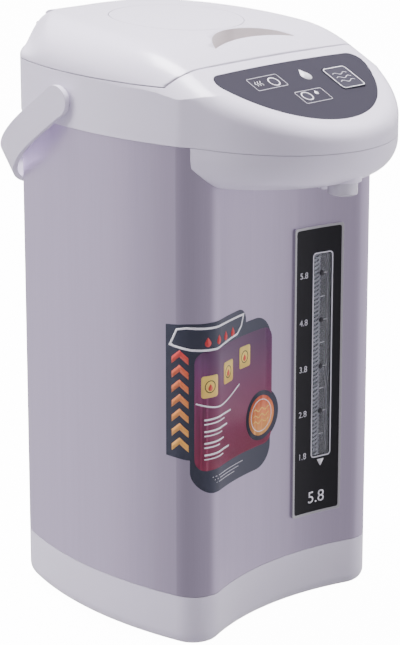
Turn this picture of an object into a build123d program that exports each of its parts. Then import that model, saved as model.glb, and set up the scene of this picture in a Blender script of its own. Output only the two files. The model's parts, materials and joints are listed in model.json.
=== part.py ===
"""Electric thermo pot: swivel base, steel body, pump, gauge, beaked head, lid and carry handle."""
from build123d import *

import os
from math import acos, atan2, cos, degrees, hypot, radians, sin, tan

os.makedirs("parts", exist_ok=True)

# ---------------------------------------------------------------- levels (mm, the floor is 0)
PAD_H = 1.5
BASE_BOTTOM = 2.5
BASE_SEAM = 40.0
HEAD_SEAM = 366.0
LID_SEAM = 405.0

# ---------------------------------------------------------------- body plan
FRONT_MIDDLE_Y = -90.0    # deepest point of the hollow front
FRONT_R = 216.5
CORNER_X = 80.2
CORNER_R = 21.1
HALF_WIDTH = 105.0
SIDE_R = 307.6
BACK_CORNER_R = 45.9
BACK_CORNER_X = 37.5
BACK_R = 305.0
BEAK_C = (0.0, -73.0)
BEAK_R = 98.0

# ---------------------------------------------------------------- walls, gaps and fits
WALL = 3.0
SHELL_T = 1.0
HEAD_PROUD = 0.6
SEAM_GAP = 0.3            # between pieces of one body
MOVING_GAP = 0.5          # between pieces that move past each other
RUN_GAP = 0.05            # pin in its bore
ABOVE = 470.0             # clear above the lid
BEYOND = 150.0            # clear outside the sides and back

# ---------------------------------------------------------------- swivel base
TURN_Y = 8.0
TURN_R = 86.0
TURN_T = 3.2
PAD_R = 6.0
PAD_RING_R = 74.0
PAD_COUNT = 6
POST_R = 8.0
WASHER_R = 14.0
WASHER_T = 2.0
BASE_FILLET = 9.0
BASE_LIP = 11.0
BASE_FLOOR = 4.0
SCREW_R = 1.5
SCREW_HEAD_R = 3.0
SCREW_HEAD_H = 1.8
SCREW_L = 10.0
SCREW_INSET = 16.2        # base screws' distance in from the outline
BOSS_R = 7.2
LID_SCREW_INSET = 12.0    # front pair's distance in from the body's half width
LID_SCREW_SPOTS = ((HALF_WIDTH - LID_SCREW_INSET, -28.0), (60.0, 88.0))      # on one side of the lid

# ---------------------------------------------------------------- power inlet
INLET_ANGLE = 118.0
INLET_Z = 18.0
INLET_W = 31.0
INLET_H = 19.0
INLET_DEPTH = 17.0
INLET_WALL = 1.6
INLET_PIN_R = 2.0
INLET_PIN_L = 7.0
INLET_PITCH = 7.0

# ---------------------------------------------------------------- tank, heater and pump
TANK_Y = 10.0
TANK_R = 95.0
TANK_T = 1.0
TANK_FLOOR = 47.5
TANK_TOP = 369.0
TANK_LIP = 1.2
TANK_CORNER_R = 8.0
HEATER_R = 52.0
HEATER_T = 4.0
HEATER_X = -14.0
HEATER_Y = 20.0
THERMOSTAT_R = 10.0
THERMOSTAT_H = 6.0
PUMP_X = 40.0
PUMP_Y = -42.0
PUMP_R = 20.0
PUMP_Z = 22.0
PUMP_H = 14.0
MOTOR_R = 15.0
IMPELLER_R = 15.0
IMPELLER_T = 5.0
IMPELLER_VANES = 6
SHAFT_R = 2.0
HOSE_R = 4.5
HOSE_BORE = 3.0

# ---------------------------------------------------------------- water gauge
GAUGE_X = 40.3
GAUGE_W = 44.5
GAUGE_Z0 = 68.0
GAUGE_Z1 = 289.0
GAUGE_PROUD = 1.6
GAUGE_RIM = 1.8
GAUGE_CORNER_R = 2.0
WINDOW_X = 44.8
WINDOW_W = 15.5
WINDOW_Z0 = 113.0
WINDOW_Z1 = 267.5
TUBE_R = 4.0
TUBE_BORE = 3.0
TUBE_Y = -86.0
TUBE_Z0 = 60.0
TUBE_Z1 = 345.0

# ---------------------------------------------------------------- head and lid surfaces
SLOPE = 27.0
SLOPE_Y = -95.0
SLOPE_Z = 412.5
DOME_BACK = (125.0, 436.8)
DOME_MID = (40.0, 437.3)
DOME_FRONT = (-40.0, 431.6)
KNEE_Y = -84.0
NOSE_Y = -200.0
CROWN_R = 2000.0
SIDE_SHOULDER_R = 30.0
BEAK_SHOULDER_R = 14.0
CHEEK_OFFSET = 0.05       # keeps the two roundings from coinciding
LID_GAP = 0.6
LID_FRONT_Y = -87.5
LID_STEP_Y = -76.0
LID_STEP_RUN = 3.5
LID_STEP_RISE = 4.0
LID_STEP_Z = 414.0
THROAT_R = 74.0

# ---------------------------------------------------------------- beak and outlet
BEAK_BOTTOM = 334.5
BEAK_SEAM_Y = -98.0
BEAK_SEAM_TILT = 3.8
BEAK_FILLET = 24.0
NOZZLE_Y = -150.5
NOZZLE_R = 10.6
NOZZLE_BORE = 7.6
NOZZLE_SEAT = 345.0
NOZZLE_BOTTOM = 327.0
NOZZLE_TOP = 352.0
LEVER_Y = -133.5
LEVER_W = 10.0
LEVER_T = 3.0
LEVER_AXIS_Z = 346.0
LEVER_TIP = 328.0
LEVER_PIN_R = 1.5
LEVER_SWING = 12.0
HOSE_TOP = 374.0

# ---------------------------------------------------------------- control panel
PANEL_R = 83.5
PANEL_BACK_Y = -94.2
PANEL_T = 2.0
PANEL_CORNER_R = 9.0
BUTTON = 25.0
BUTTON_X = 37.5
BUTTON_Y = -118.8
BUTTON_CORNER_R = 3.0
BUTTON_T = 5.0
BUTTON_PROUD = 0.5
BUTTON_TRAVEL = 1.2
LAMP_R = 3.6
LAMPS = [(-27.7, -110.5), (-14.3, -129.5)]
BOARD_DEPTH = 9.0
BOARD_T = 1.6
SWITCH = 6.0

# ---------------------------------------------------------------- press plate and latch
PLATE_Y = 8.5
PLATE_R = 49.0
PLATE_T = 3.5
PLATE_TRAVEL = 8.0
SKIRT_T = 2.5
SKIRT_CLEAR = 1.5         # under the skirt when the plate is pressed
SLEEVE_T = 1.8
POCKET_TIP = (42.0, -69.0)
POCKET_REAR_Y = -44.0
POCKET_FRONT_Y = -61.5
POCKET_FLOOR = 415.0
POCKET_WALL = 2.2
LATCH_T = 3.0
LATCH_GRIP = 5.0
LATCH_TRAVEL = 4.0
TONGUE_W = 20.0
TONGUE_T = 2.0
TONGUE_Z = 410.2
TONGUE_TIP_Y = -85.0
TONGUE_REAR_Y = -54.0
STEM_Y = -60.0
STEM_L = 6.0
STEM_W = 16.0
GRIP_W = 28.0
GRIP_T = 4.0

# ---------------------------------------------------------------- lid underside
LINER_Z = 407.5
LINER_T = 2.0
SEAL_R = 78.0
SEAL_INNER_R = 75.0
PLUG_R = 68.0
PLUG_BOTTOM = 384.0

# ---------------------------------------------------------------- lid hinge
HINGE_INSET = 7.289027    # pin's distance in from the back of the body
HINGE_Z = 424.5
HINGE_PIN_R = 2.5
HINGE_HALF_W = 30.0
HINGE_BARREL_R = 9.5
HINGE_PIN_HALF = 43.5
LUG_W = 15.5

# ---------------------------------------------------------------- carry handle
HANDLE_Y = 25.7
HANDLE_Z = 384.4
HANDLE_ANGLE = 36.0       # how far it hangs below level
HANDLE_INSET = 1.5        # inner face of its arms in from the body's half width
HANDLE_REACH = 22.843725  # how far its bow reaches behind the body
HANDLE_CORNER_R = 100.0
HANDLE_TURN = 63.0        # angle of the tighter arc at each side of the bow
STRAP_T = 4.0
STRAP_W = 22.0
STRAP_LIP = 1.8
HANDLE_END_R = 11.5
HANDLE_PIN_R = 4.0
PIN_DEPTH = 2.5
HUB_R = 9.0
HUB_DEPTH = 15.0          # how far the pins reach in from the body's half width

# ---------------------------------------------------------------- label
LABEL_T = 0.25
LABEL_LIFT = 0.02
LABEL_Y1 = -78.0          # where its wrapped side ends
LABEL_TAB = (-106.0, -36.0, 213.0, 242.0)       # left, right, bottom, top seen from the front
LABEL_COLUMN = (-106.0, -84.0, 143.0, 236.0)
LABEL_BODY = (-97.0, -6.0, 117.0, 231.0)
LABEL_TAB_R = 9.0
LABEL_BODY_R = 17.0
BADGE_X = -17.0
BADGE_Z = 157.0
BADGE_R = 20.0


# ================================================================ shared geometry
def between(first, second):
    """Angle in degrees of the line from one point to another."""
    return degrees(atan2(second[1] - first[1], second[0] - first[0]))


def polar(centre, radius, angle):
    """Point at a distance and an angle from a centre."""
    return (centre[0] + radius * cos(radians(angle)), centre[1] + radius * sin(radians(angle)))


FRONT_C = (0.0, FRONT_MIDDLE_Y - FRONT_R)
CORNER_C = (CORNER_X, FRONT_C[1] + ((FRONT_R + CORNER_R) ** 2 - CORNER_X ** 2) ** 0.5)
SIDE_C = (
    HALF_WIDTH - SIDE_R,
    CORNER_C[1] + ((SIDE_R - CORNER_R) ** 2 - (CORNER_C[0] - HALF_WIDTH + SIDE_R) ** 2) ** 0.5,
)
BACK_CORNER_C = (
    BACK_CORNER_X,
    SIDE_C[1] + ((SIDE_R - BACK_CORNER_R) ** 2 - (BACK_CORNER_X - SIDE_C[0]) ** 2) ** 0.5,
)
BACK_C = (0.0, BACK_CORNER_C[1] - ((BACK_R - BACK_CORNER_R) ** 2 - BACK_CORNER_X ** 2) ** 0.5)
back_y = BACK_C[1] + BACK_R
HINGE_Y = back_y - HINGE_INSET

HANDLE_INNER = HALF_WIDTH - HANDLE_INSET
handle_half = HANDLE_INNER + STRAP_T
hub_start = HALF_WIDTH - HUB_DEPTH
bow_half = handle_half - HANDLE_CORNER_R * (1 - cos(radians(HANDLE_TURN)))
BOW_R = bow_half / cos(radians(HANDLE_TURN))
lean = radians(HANDLE_ANGLE)
rear_y = back_y + HANDLE_REACH
BOW_Y = (rear_y - HANDLE_Y - STRAP_W / 2 * sin(lean)) / cos(lean) - BOW_R
HANDLE_STRAIGHT = BOW_Y - (HANDLE_CORNER_R - BOW_R) * sin(radians(HANDLE_TURN))
Y_SHIFT = (BEAK_R + HEAD_PROUD - BEAK_C[1] - rear_y) / 2    # centres the footprint on the origin


def back_line(side, grow):
    """Draws the outline from one side round the back to the other side."""
    corner = between(SIDE_C, BACK_CORNER_C)
    back = between(BACK_C, BACK_CORNER_C)
    CenterArc(SIDE_C, SIDE_R + grow, side, corner - side)
    CenterArc(BACK_CORNER_C, BACK_CORNER_R + grow, corner, back - corner)
    CenterArc(BACK_C, BACK_R + grow, back, 180 - 2 * back)
    CenterArc((-BACK_CORNER_C[0], BACK_CORNER_C[1]), BACK_CORNER_R + grow, 180 - back, back - corner)
    CenterArc((-SIDE_C[0], SIDE_C[1]), SIDE_R + grow, 180 - corner, corner - side)


def side_and_back(start, grow):
    """Draws the outline from one front corner round the back to the other."""
    side = between(SIDE_C, CORNER_C)
    CenterArc(CORNER_C, CORNER_R + grow, start, side - start)
    back_line(side, grow)
    CenterArc((-CORNER_C[0], CORNER_C[1]), CORNER_R + grow, 180 - side, side - start)


def body_line(grow=0.0):
    """Draws the outline of the steel body with its hollow front."""
    front = between(FRONT_C, CORNER_C)
    CenterArc(FRONT_C, FRONT_R - grow, 180 - front, 2 * front - 180)
    side_and_back(front - 180, grow)


def head_line(grow=0.0):
    """Draws the outline of the head: the body's sides and back with a round beak in front."""
    reach = hypot(CORNER_C[0] - BEAK_C[0], CORNER_C[1] - BEAK_C[1])
    tangent = between(BEAK_C, CORNER_C) - degrees(acos((BEAK_R - CORNER_R) / reach))
    other = 180 - tangent
    CenterArc(BEAK_C, BEAK_R + grow, other, 2 * tangent + 180)
    Line(polar(BEAK_C, BEAK_R + grow, tangent), polar(CORNER_C, CORNER_R + grow, tangent))
    side_and_back(tangent, grow)
    Line(
        polar((-CORNER_C[0], CORNER_C[1]), CORNER_R + grow, other),
        polar(BEAK_C, BEAK_R + grow, other),
    )


def cheek_line(grow=0.0):
    """Draws the outline that rounds the sides: the body's back with straight sides running forward."""
    half = HALF_WIDTH + grow
    Line((-half, NOSE_Y), (half, NOSE_Y))
    Line((half, NOSE_Y), (half, SIDE_C[1]))
    back_line(0, grow)
    Line((-half, SIDE_C[1]), (-half, NOSE_Y))


def prism(line, grow, low, high, edge_r=0.0):
    """Solid of a plan outline between two heights, its bottom edge rounded if asked."""
    with BuildPart(mode=Mode.PRIVATE) as block:
        with BuildSketch(Plane.XY.offset(low)):
            with BuildLine():
                line(grow)
            make_face()
        extrude(amount=high - low)
        if edge_r:
            fillet(block.faces().sort_by(Axis.Z)[0].edges(), edge_r)
    return block.part


def side_prism(points, half_width=BEYOND):
    """Solid of a side-view polygon, drawn in Y and Z, across the width."""
    with BuildPart(mode=Mode.PRIVATE) as block:
        with BuildSketch(Plane.YZ):
            with BuildLine():
                Polyline(*points, close=True)
            make_face()
        extrude(amount=half_width, both=True)
    return block.part


def disc(x, y, low, high, radius, bore=0.0):
    """Upright cylinder or ring."""
    with BuildPart(mode=Mode.PRIVATE) as block:
        with BuildSketch(Plane((x, y, low))):
            Circle(radius)
            if bore:
                Circle(bore, mode=Mode.SUBTRACT)
        extrude(amount=high - low)
    return block.part


def box(x0, x1, y0, y1, z0, z1):
    """Block between three pairs of limits."""
    with BuildPart(mode=Mode.PRIVATE) as block:
        with BuildSketch(Plane(((x0 + x1) / 2, (y0 + y1) / 2, z0))):
            Rectangle(x1 - x0, y1 - y0)
        extrude(amount=z1 - z0)
    return block.part


def cross_pin(x0, x1, y, z, radius):
    """Round bar along X."""
    with BuildPart(mode=Mode.PRIVATE) as block:
        with BuildSketch(Plane.YZ.offset(x0)):
            with Locations((y, z)):
                Circle(radius)
        extrude(amount=x1 - x0)
    return block.part


def slope_plane(x, y, depth=0.0):
    """Plane of the sloping front of the head over a plan point, set in by a depth."""
    normal = (0, -sin(radians(SLOPE)), cos(radians(SLOPE)))
    return Plane(origin=(x, y, slope_z(y)), x_dir=(1, 0, 0), z_dir=normal).offset(-depth)


def slope_z(y):
    """Height of the sloping front of the head."""
    return SLOPE_Z + tan(radians(SLOPE)) * (y - SLOPE_Y)


def crowned(line, grow, inset, shoulder_r):
    """Outline carried up to the crowned top surface, with its rim rounded along the sides."""
    axis_z = DOME_MID[1] - CROWN_R
    drop = inset / cos(radians(SLOPE))
    nose = (NOSE_Y, slope_z(NOSE_Y) - drop)
    knee = (KNEE_Y, slope_z(KNEE_Y) - drop)
    with BuildPart(mode=Mode.PRIVATE) as form:
        with BuildSketch(Plane.XY.offset(BEAK_BOTTOM)):
            with BuildLine():
                line(grow)
            make_face()
        extrude(amount=130)
        with BuildSketch(Plane.YZ):
            with BuildLine():
                Line(nose, knee)
                dome = ThreePointArc(
                    (DOME_BACK[0], DOME_BACK[1] - inset),
                    (DOME_MID[0], DOME_MID[1] - inset),
                    (DOME_FRONT[0], DOME_FRONT[1] - inset),
                )
                Spline(knee, dome @ 1, tangents=[(cos(radians(SLOPE)), sin(radians(SLOPE))), -(dome % 1)])
                Polyline(dome @ 0, (DOME_BACK[0], axis_z), (nose[0], axis_z), nose)
            make_face()
        revolve(axis=Axis((0, 0, axis_z), (0, 1, 0)), revolution_arc=360, mode=Mode.INTERSECT)
        walls = form.faces().filter_by(lambda face: abs(face.normal_at().Z) < 0.01)
        walls = walls.filter_by(lambda face: face.center().Y > NOSE_Y + 1)
        tops = form.faces().filter_by(lambda face: face.normal_at().Z > 0.3)
        fillet([edge for edge in tops.edges() if edge in walls.edges()], shoulder_r - inset)
    return form.part


def envelope(inset):
    """Outside of head and lid together, set in by a wall thickness: softly rounded at the sides and
    back, more tightly round the beak."""
    beak = crowned(head_line, HEAD_PROUD - inset, inset, BEAK_SHOULDER_R)
    sides = crowned(cheek_line, HEAD_PROUD - inset + CHEEK_OFFSET, inset - CHEEK_OFFSET, SIDE_SHOULDER_R)
    return beak & sides


def lid_zone(shift, drop=0.0):
    """Space above the lid's seam line, moved up and back by a clearance."""
    return side_prism([
        (BEYOND, LID_SEAM + shift - drop),
        (LID_STEP_Y + shift, LID_SEAM + shift - drop),
        (LID_FRONT_Y + LID_STEP_RUN + shift, LID_STEP_Z + shift),
        (LID_FRONT_Y + shift, LID_STEP_Z + LID_STEP_RISE + shift),
        (LID_FRONT_Y + shift, ABOVE),
        (BEYOND, ABOVE),
    ])


def beak_zone(shift):
    """Space below the tilted seam of the beak, moved down by a clearance."""
    fall = tan(radians(BEAK_SEAM_TILT)) * (BEAK_SEAM_Y - NOSE_Y)
    return side_prism([
        (BEAK_SEAM_Y + 10, HEAD_SEAM - shift),
        (BEAK_SEAM_Y, HEAD_SEAM - shift),
        (NOSE_Y, HEAD_SEAM - fall - shift),
        (NOSE_Y, BEAK_BOTTOM - 20),
        (BEAK_SEAM_Y + 10, BEAK_BOTTOM - 20),
    ])


def slope_block(x, y, width, height, corner, top, bottom):
    """Rounded block square to the sloping front, between two depths."""
    with BuildPart(mode=Mode.PRIVATE) as block:
        with BuildSketch(slope_plane(x, y, bottom)):
            RectangleRounded(width, height, corner)
        extrude(amount=bottom - top)
    return block.part


def slope_disc(x, y, radius, top, bottom):
    """Round block square to the sloping front, between two depths."""
    with BuildPart(mode=Mode.PRIVATE) as block:
        with BuildSketch(slope_plane(x, y, bottom)):
            Circle(radius)
        extrude(amount=bottom - top)
    return block.part


def panel_prism(grow):
    """Upright prism of the control panel's outline."""
    radius = PANEL_R + grow
    back = PANEL_BACK_Y + grow
    angle = degrees(acos((BEAK_C[1] - back) / radius))
    left = polar(BEAK_C, radius, -90 - angle)
    right = polar(BEAK_C, radius, -90 + angle)
    with BuildPart(mode=Mode.PRIVATE) as block:
        with BuildSketch(Plane.XY.offset(HEAD_SEAM)) as outline:
            with BuildLine():
                CenterArc(BEAK_C, radius, -90 - angle, 2 * angle)
                Line(right, left)
            make_face()
            fillet(outline.vertices(), PANEL_CORNER_R + grow)
        extrude(amount=100)
    return block.part


def gauge_slice(front, back):
    """Upright strip that follows the hollow front between two depths, wider than the gauge."""
    with BuildPart(mode=Mode.PRIVATE) as block:
        with BuildSketch(Plane.XY.offset(GAUGE_Z0 - 5)):
            with Locations(FRONT_C):
                Circle(FRONT_R + back)
                Circle(FRONT_R - front, mode=Mode.SUBTRACT)
            with Locations((GAUGE_X, FRONT_C[1] + FRONT_R)):
                Rectangle(GAUGE_W + 10, 60, mode=Mode.INTERSECT)
        extrude(amount=GAUGE_Z1 - GAUGE_Z0 + 10)
    return block.part


def front_block(x, width, z0, z1, corner, y0=-120.0, y1=-60.0):
    """Rounded block seen from the front, running back between two depths."""
    with BuildPart(mode=Mode.PRIVATE) as block:
        with BuildSketch(Plane.XZ.offset(-y1)):
            with Locations((x, (z0 + z1) / 2)):
                RectangleRounded(width, z1 - z0, corner)
        extrude(amount=y1 - y0)
    return block.part


def crescent(grow, low, high):
    """Upright prism of the finger pocket between its two arcs."""
    tip_x, tip_y = POCKET_TIP
    with BuildPart(mode=Mode.PRIVATE) as block:
        with BuildSketch(Plane.XY.offset(low)):
            with BuildLine():
                ThreePointArc((-tip_x, tip_y), (0, POCKET_REAR_Y), (tip_x, tip_y))
                ThreePointArc((tip_x, tip_y), (0, POCKET_FRONT_Y), (-tip_x, tip_y))
            make_face()
            if grow:
                offset(amount=grow, kind=Kind.INTERSECTION if grow < 0 else Kind.ARC)
        extrude(amount=high - low)
    return block.part


def keep(piece, label):
    """Labels a finished piece, moves it to the common origin and writes it."""
    finished = piece.part.moved(Location((0, Y_SHIFT, 0)))
    finished.label = label
    export_step(finished, f"parts/{label}.step")


outside = envelope(0)
inside = envelope(WALL)
under_panel = envelope(PANEL_T)

# ================================================================ swivel base
TURN_TOP = PAD_H + TURN_T
SWIVEL_ROOF = TURN_TOP + SEAM_GAP
PLATE_TOP = BASE_BOTTOM + BASE_FLOOR

with BuildPart() as foot_pads:
    with BuildSketch():
        with Locations((0, TURN_Y)):
            with PolarLocations(PAD_RING_R, PAD_COUNT):
                Circle(PAD_R)
    extrude(amount=PAD_H)
    chamfer(foot_pads.faces().filter_by(Plane.XY).group_by(Axis.Z)[0].edges(), 0.4)
keep(foot_pads, "foot_pads")

with BuildPart() as turntable:
    add(disc(0, TURN_Y, PAD_H, TURN_TOP, TURN_R))
    add(disc(0, TURN_Y, TURN_TOP, PLATE_TOP + SEAM_GAP + WASHER_T + 1, POST_R))
    fillet(turntable.faces().sort_by(Axis.Z)[0].edges(), 1.0)
keep(turntable, "turntable")

with BuildPart() as swivel_washer:
    add(disc(0, TURN_Y, PLATE_TOP + SEAM_GAP, PLATE_TOP + SEAM_GAP + WASHER_T, WASHER_R, POST_R))
keep(swivel_washer, "swivel_washer")

inlet_plane = Plane(
    origin=(*polar((-BACK_CORNER_C[0], BACK_CORNER_C[1]), BACK_CORNER_R, INLET_ANGLE), INLET_Z),
    x_dir=(-sin(radians(INLET_ANGLE)), cos(radians(INLET_ANGLE)), 0),
    z_dir=(cos(radians(INLET_ANGLE)), sin(radians(INLET_ANGLE)), 0),
)

front_screw = polar(CORNER_C, CORNER_R - SCREW_INSET, -35)
back_screw = polar(BACK_CORNER_C, BACK_CORNER_R - SCREW_INSET, 32)
base_screw_spots = [(side * x, y) for side in (1, -1) for x, y in (front_screw, back_screw)]

with BuildPart() as base_ring:
    add(prism(body_line, 0, BASE_BOTTOM, BASE_SEAM, BASE_FILLET))
    add(prism(body_line, -WALL, PLATE_TOP, BASE_SEAM, BASE_FILLET - WALL), mode=Mode.SUBTRACT)
    add(prism(body_line, -BASE_LIP, BASE_BOTTOM, PLATE_TOP), mode=Mode.SUBTRACT)
    with BuildSketch(Plane.XY.offset(PLATE_TOP)):
        with Locations(*base_screw_spots):
            Circle(BOSS_R)
    extrude(amount=SCREW_L + 2)
    with BuildSketch(Plane.XY.offset(PLATE_TOP)):
        with Locations(*base_screw_spots):
            Circle(SCREW_R)
    extrude(amount=SCREW_L, mode=Mode.SUBTRACT)
    with BuildSketch(inlet_plane.offset(10)):
        Rectangle(INLET_W, INLET_H)
    extrude(amount=-40, mode=Mode.SUBTRACT)
keep(base_ring, "base_ring")

with BuildPart() as base_plate:
    add(prism(body_line, -BASE_LIP - SEAM_GAP, BASE_BOTTOM, PLATE_TOP))
    add(disc(0, TURN_Y, BASE_BOTTOM, SWIVEL_ROOF, TURN_R + 2), mode=Mode.SUBTRACT)
    add(disc(0, TURN_Y, BASE_BOTTOM, PLATE_TOP, POST_R + RUN_GAP), mode=Mode.SUBTRACT)
    with Locations(Plane.XY.offset(BASE_BOTTOM)):
        with Locations(*[(x, y, 0) for x, y in base_screw_spots]):
            with Locations(Rotation(180, 0, 0)):
                CounterBoreHole(SCREW_R, SCREW_HEAD_R + 0.2, SCREW_HEAD_H)
keep(base_plate, "base_plate")

with BuildPart() as base_screws:
    with BuildSketch(Plane.XY.offset(BASE_BOTTOM)):
        with Locations(*base_screw_spots):
            Circle(SCREW_HEAD_R)
            RegularPolygon(1.3, 6, mode=Mode.SUBTRACT)
    extrude(amount=SCREW_HEAD_H)
    with BuildSketch(Plane.XY.offset(BASE_BOTTOM + SCREW_HEAD_H / 2)):
        with Locations(*base_screw_spots):
            Circle(SCREW_R)
    extrude(amount=SCREW_L + 2)
keep(base_screws, "base_screws")

with BuildPart() as power_inlet:
    with BuildSketch(inlet_plane.offset(10)):
        Rectangle(INLET_W - 0.4, INLET_H - 0.4)
    extrude(amount=-10 - INLET_DEPTH)
    with BuildSketch(inlet_plane.offset(10)):
        RectangleRounded(INLET_W - 2 * INLET_WALL, INLET_H - 2 * INLET_WALL, 3)
    extrude(amount=-10 - INLET_DEPTH + INLET_WALL, mode=Mode.SUBTRACT)
    add(prism(body_line, -0.8, BASE_BOTTOM, BASE_SEAM, BASE_FILLET - 0.8), mode=Mode.INTERSECT)
keep(power_inlet, "power_inlet")

with BuildPart() as inlet_pins:
    with BuildSketch(inlet_plane.offset(INLET_WALL - INLET_DEPTH)):
        with Locations((-INLET_PITCH, 0), (0, 3), (INLET_PITCH, 0)):
            Circle(INLET_PIN_R)
    extrude(amount=INLET_PIN_L)
    fillet(inlet_pins.faces().sort_by(Axis(inlet_plane.origin, inlet_plane.z_dir))[-3:].edges(), 0.8)
keep(inlet_pins, "inlet_pins")

# ================================================================ steel body, tank and heater
with BuildPart() as steel_shell:
    add(prism(body_line, 0, BASE_SEAM + SEAM_GAP, HEAD_SEAM - SEAM_GAP))
    add(prism(body_line, -SHELL_T, BASE_SEAM, HEAD_SEAM), mode=Mode.SUBTRACT)
    add(
        front_block(GAUGE_X, GAUGE_W - 2 * WALL, GAUGE_Z0 + WALL, GAUGE_Z1 - WALL, GAUGE_CORNER_R),
        mode=Mode.SUBTRACT,
    )
keep(steel_shell, "steel_shell")

with BuildPart() as label_sheet:
    add(prism(body_line, LABEL_T + LABEL_LIFT, LABEL_BODY[2], LABEL_TAB[3]))
    add(prism(body_line, LABEL_LIFT, LABEL_BODY[2], LABEL_TAB[3]), mode=Mode.SUBTRACT)
    label_areas = ((LABEL_TAB, LABEL_TAB_R), (LABEL_COLUMN, LABEL_TAB_R), (LABEL_BODY, LABEL_BODY_R))
    with BuildSketch(Plane.XZ.offset(-LABEL_Y1)):
        for (left, right, low, high), corner_r in label_areas:
            with Locations(((left + right) / 2, (low + high) / 2)):
                RectangleRounded(right - left, high - low, corner_r)
        with Locations((BADGE_X, BADGE_Z)):
            Circle(BADGE_R)
    extrude(amount=BEYOND + LABEL_Y1, mode=Mode.INTERSECT)
keep(label_sheet, "label_sheet")

with BuildPart() as inner_tank:
    with BuildSketch(Plane.XZ.offset(-TANK_Y)) as tank_section:
        with Locations((0, TANK_FLOOR)):
            Rectangle(TANK_R + TANK_T, TANK_TOP - TANK_FLOOR, align=(Align.MIN, Align.MIN))
        fillet(tank_section.vertices().group_by(Axis.X)[-1].sort_by(Axis.Y)[0], TANK_CORNER_R + TANK_T)
        with Locations((TANK_R, TANK_TOP - TANK_T)):
            Rectangle(TANK_T + TANK_LIP, TANK_T, align=(Align.MIN, Align.MIN))
    revolve(axis=Axis((0, TANK_Y, 0), (0, 0, 1)))
    with BuildSketch(Plane.XZ.offset(-TANK_Y)) as tank_hollow:
        with Locations((0, TANK_FLOOR + TANK_T)):
            Rectangle(TANK_R, TANK_TOP - TANK_FLOOR, align=(Align.MIN, Align.MIN))
        fillet(tank_hollow.vertices().group_by(Axis.X)[-1].sort_by(Axis.Y)[0], TANK_CORNER_R)
    revolve(axis=Axis((0, TANK_Y, 0), (0, 0, 1)), mode=Mode.SUBTRACT)
    add(disc(PUMP_X, PUMP_Y, TANK_FLOOR - 1, TANK_FLOOR + 2 * TANK_T, HOSE_BORE), mode=Mode.SUBTRACT)
keep(inner_tank, "inner_tank")

with BuildPart() as heater_plate:
    add(disc(HEATER_X, HEATER_Y, TANK_FLOOR - HEATER_T, TANK_FLOOR, HEATER_R))
    chamfer(heater_plate.edges().group_by(Axis.Z)[0], 1)
keep(heater_plate, "heater_plate")

heater_low = TANK_FLOOR - HEATER_T
with BuildPart() as thermostat:
    add(disc(HEATER_X, HEATER_Y, heater_low - THERMOSTAT_H, heater_low, THERMOSTAT_R))
    add(box(HEATER_X - 14, HEATER_X + 14, HEATER_Y - 4, HEATER_Y + 4, heater_low - 1.5, heater_low))
keep(thermostat, "thermostat")

# ================================================================ pump and hoses
pump_top = PUMP_Z + PUMP_H
chamber_low = PUMP_Z + WALL
chamber_r = IMPELLER_R + 1.0
impeller_low = chamber_low + 1.0

with BuildPart() as pump_housing:
    add(disc(PUMP_X, PUMP_Y, PUMP_Z, pump_top, PUMP_R))
    fillet(pump_housing.edges().group_by(Axis.Z)[-1], 2)
    add(disc(PUMP_X, PUMP_Y, chamber_low, pump_top - WALL, chamber_r), mode=Mode.SUBTRACT)
    add(disc(PUMP_X, PUMP_Y, pump_top - WALL, pump_top, HOSE_BORE), mode=Mode.SUBTRACT)
    add(disc(PUMP_X, PUMP_Y, PUMP_Z, chamber_low, SHAFT_R + RUN_GAP), mode=Mode.SUBTRACT)
    with BuildSketch(Plane.XZ.offset(-PUMP_Y)):
        with Locations((PUMP_X, PUMP_Z + PUMP_H / 2)):
            Circle(HOSE_BORE)
    extrude(amount=PUMP_R, mode=Mode.SUBTRACT)
keep(pump_housing, "pump_housing")

with BuildPart() as pump_motor:
    add(disc(PUMP_X, PUMP_Y, PLATE_TOP + SEAM_GAP, PUMP_Z, MOTOR_R))
    add(disc(PUMP_X, PUMP_Y, PUMP_Z - 4, PUMP_Z, SHAFT_R + 1), mode=Mode.SUBTRACT)
keep(pump_motor, "pump_motor")

with BuildPart() as impeller:
    add(disc(PUMP_X, PUMP_Y, PUMP_Z - 3.5, impeller_low + IMPELLER_T, SHAFT_R))
    add(disc(PUMP_X, PUMP_Y, impeller_low, impeller_low + 1.5, IMPELLER_R))
    with BuildSketch(Plane((PUMP_X, PUMP_Y, impeller_low + 1.5))):
        with PolarLocations(0, IMPELLER_VANES):
            with Locations((IMPELLER_R / 2, 1.5)):
                Rectangle(IMPELLER_R - 3, 1.4, rotation=12)
    extrude(amount=IMPELLER_T - 1.5)
keep(impeller, "impeller")

with BuildPart() as inlet_hose:
    add(disc(PUMP_X, PUMP_Y, pump_top, TANK_FLOOR, HOSE_R, HOSE_BORE))
keep(inlet_hose, "inlet_hose")


def hose(points, radii, radius, bore):
    """Hose along straight runs joined by arcs."""
    with BuildPart(mode=Mode.PRIVATE) as tube:
        with BuildLine():
            path = FilletPolyline(*points, radius=radii)
        with BuildSketch(Plane(origin=path @ 0, z_dir=path % 0)):
            Circle(radius)
            Circle(bore, mode=Mode.SUBTRACT)
        sweep(path=path)
    return tube.part


with BuildPart() as lower_hose:
    lift = PUMP_Z + PUMP_H / 2
    corner = (PUMP_X, TUBE_Y + 14, lift)
    add(hose(
        [(PUMP_X, PUMP_Y - PUMP_R, lift), corner, (WINDOW_X, TUBE_Y, lift), (WINDOW_X, TUBE_Y, TUBE_Z0)],
        [8, 8], HOSE_R, HOSE_BORE,
    ))
keep(lower_hose, "lower_hose")

with BuildPart() as level_tube:
    add(disc(WINDOW_X, TUBE_Y, TUBE_Z0, TUBE_Z1, TUBE_R, TUBE_BORE))
keep(level_tube, "level_tube")

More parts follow.
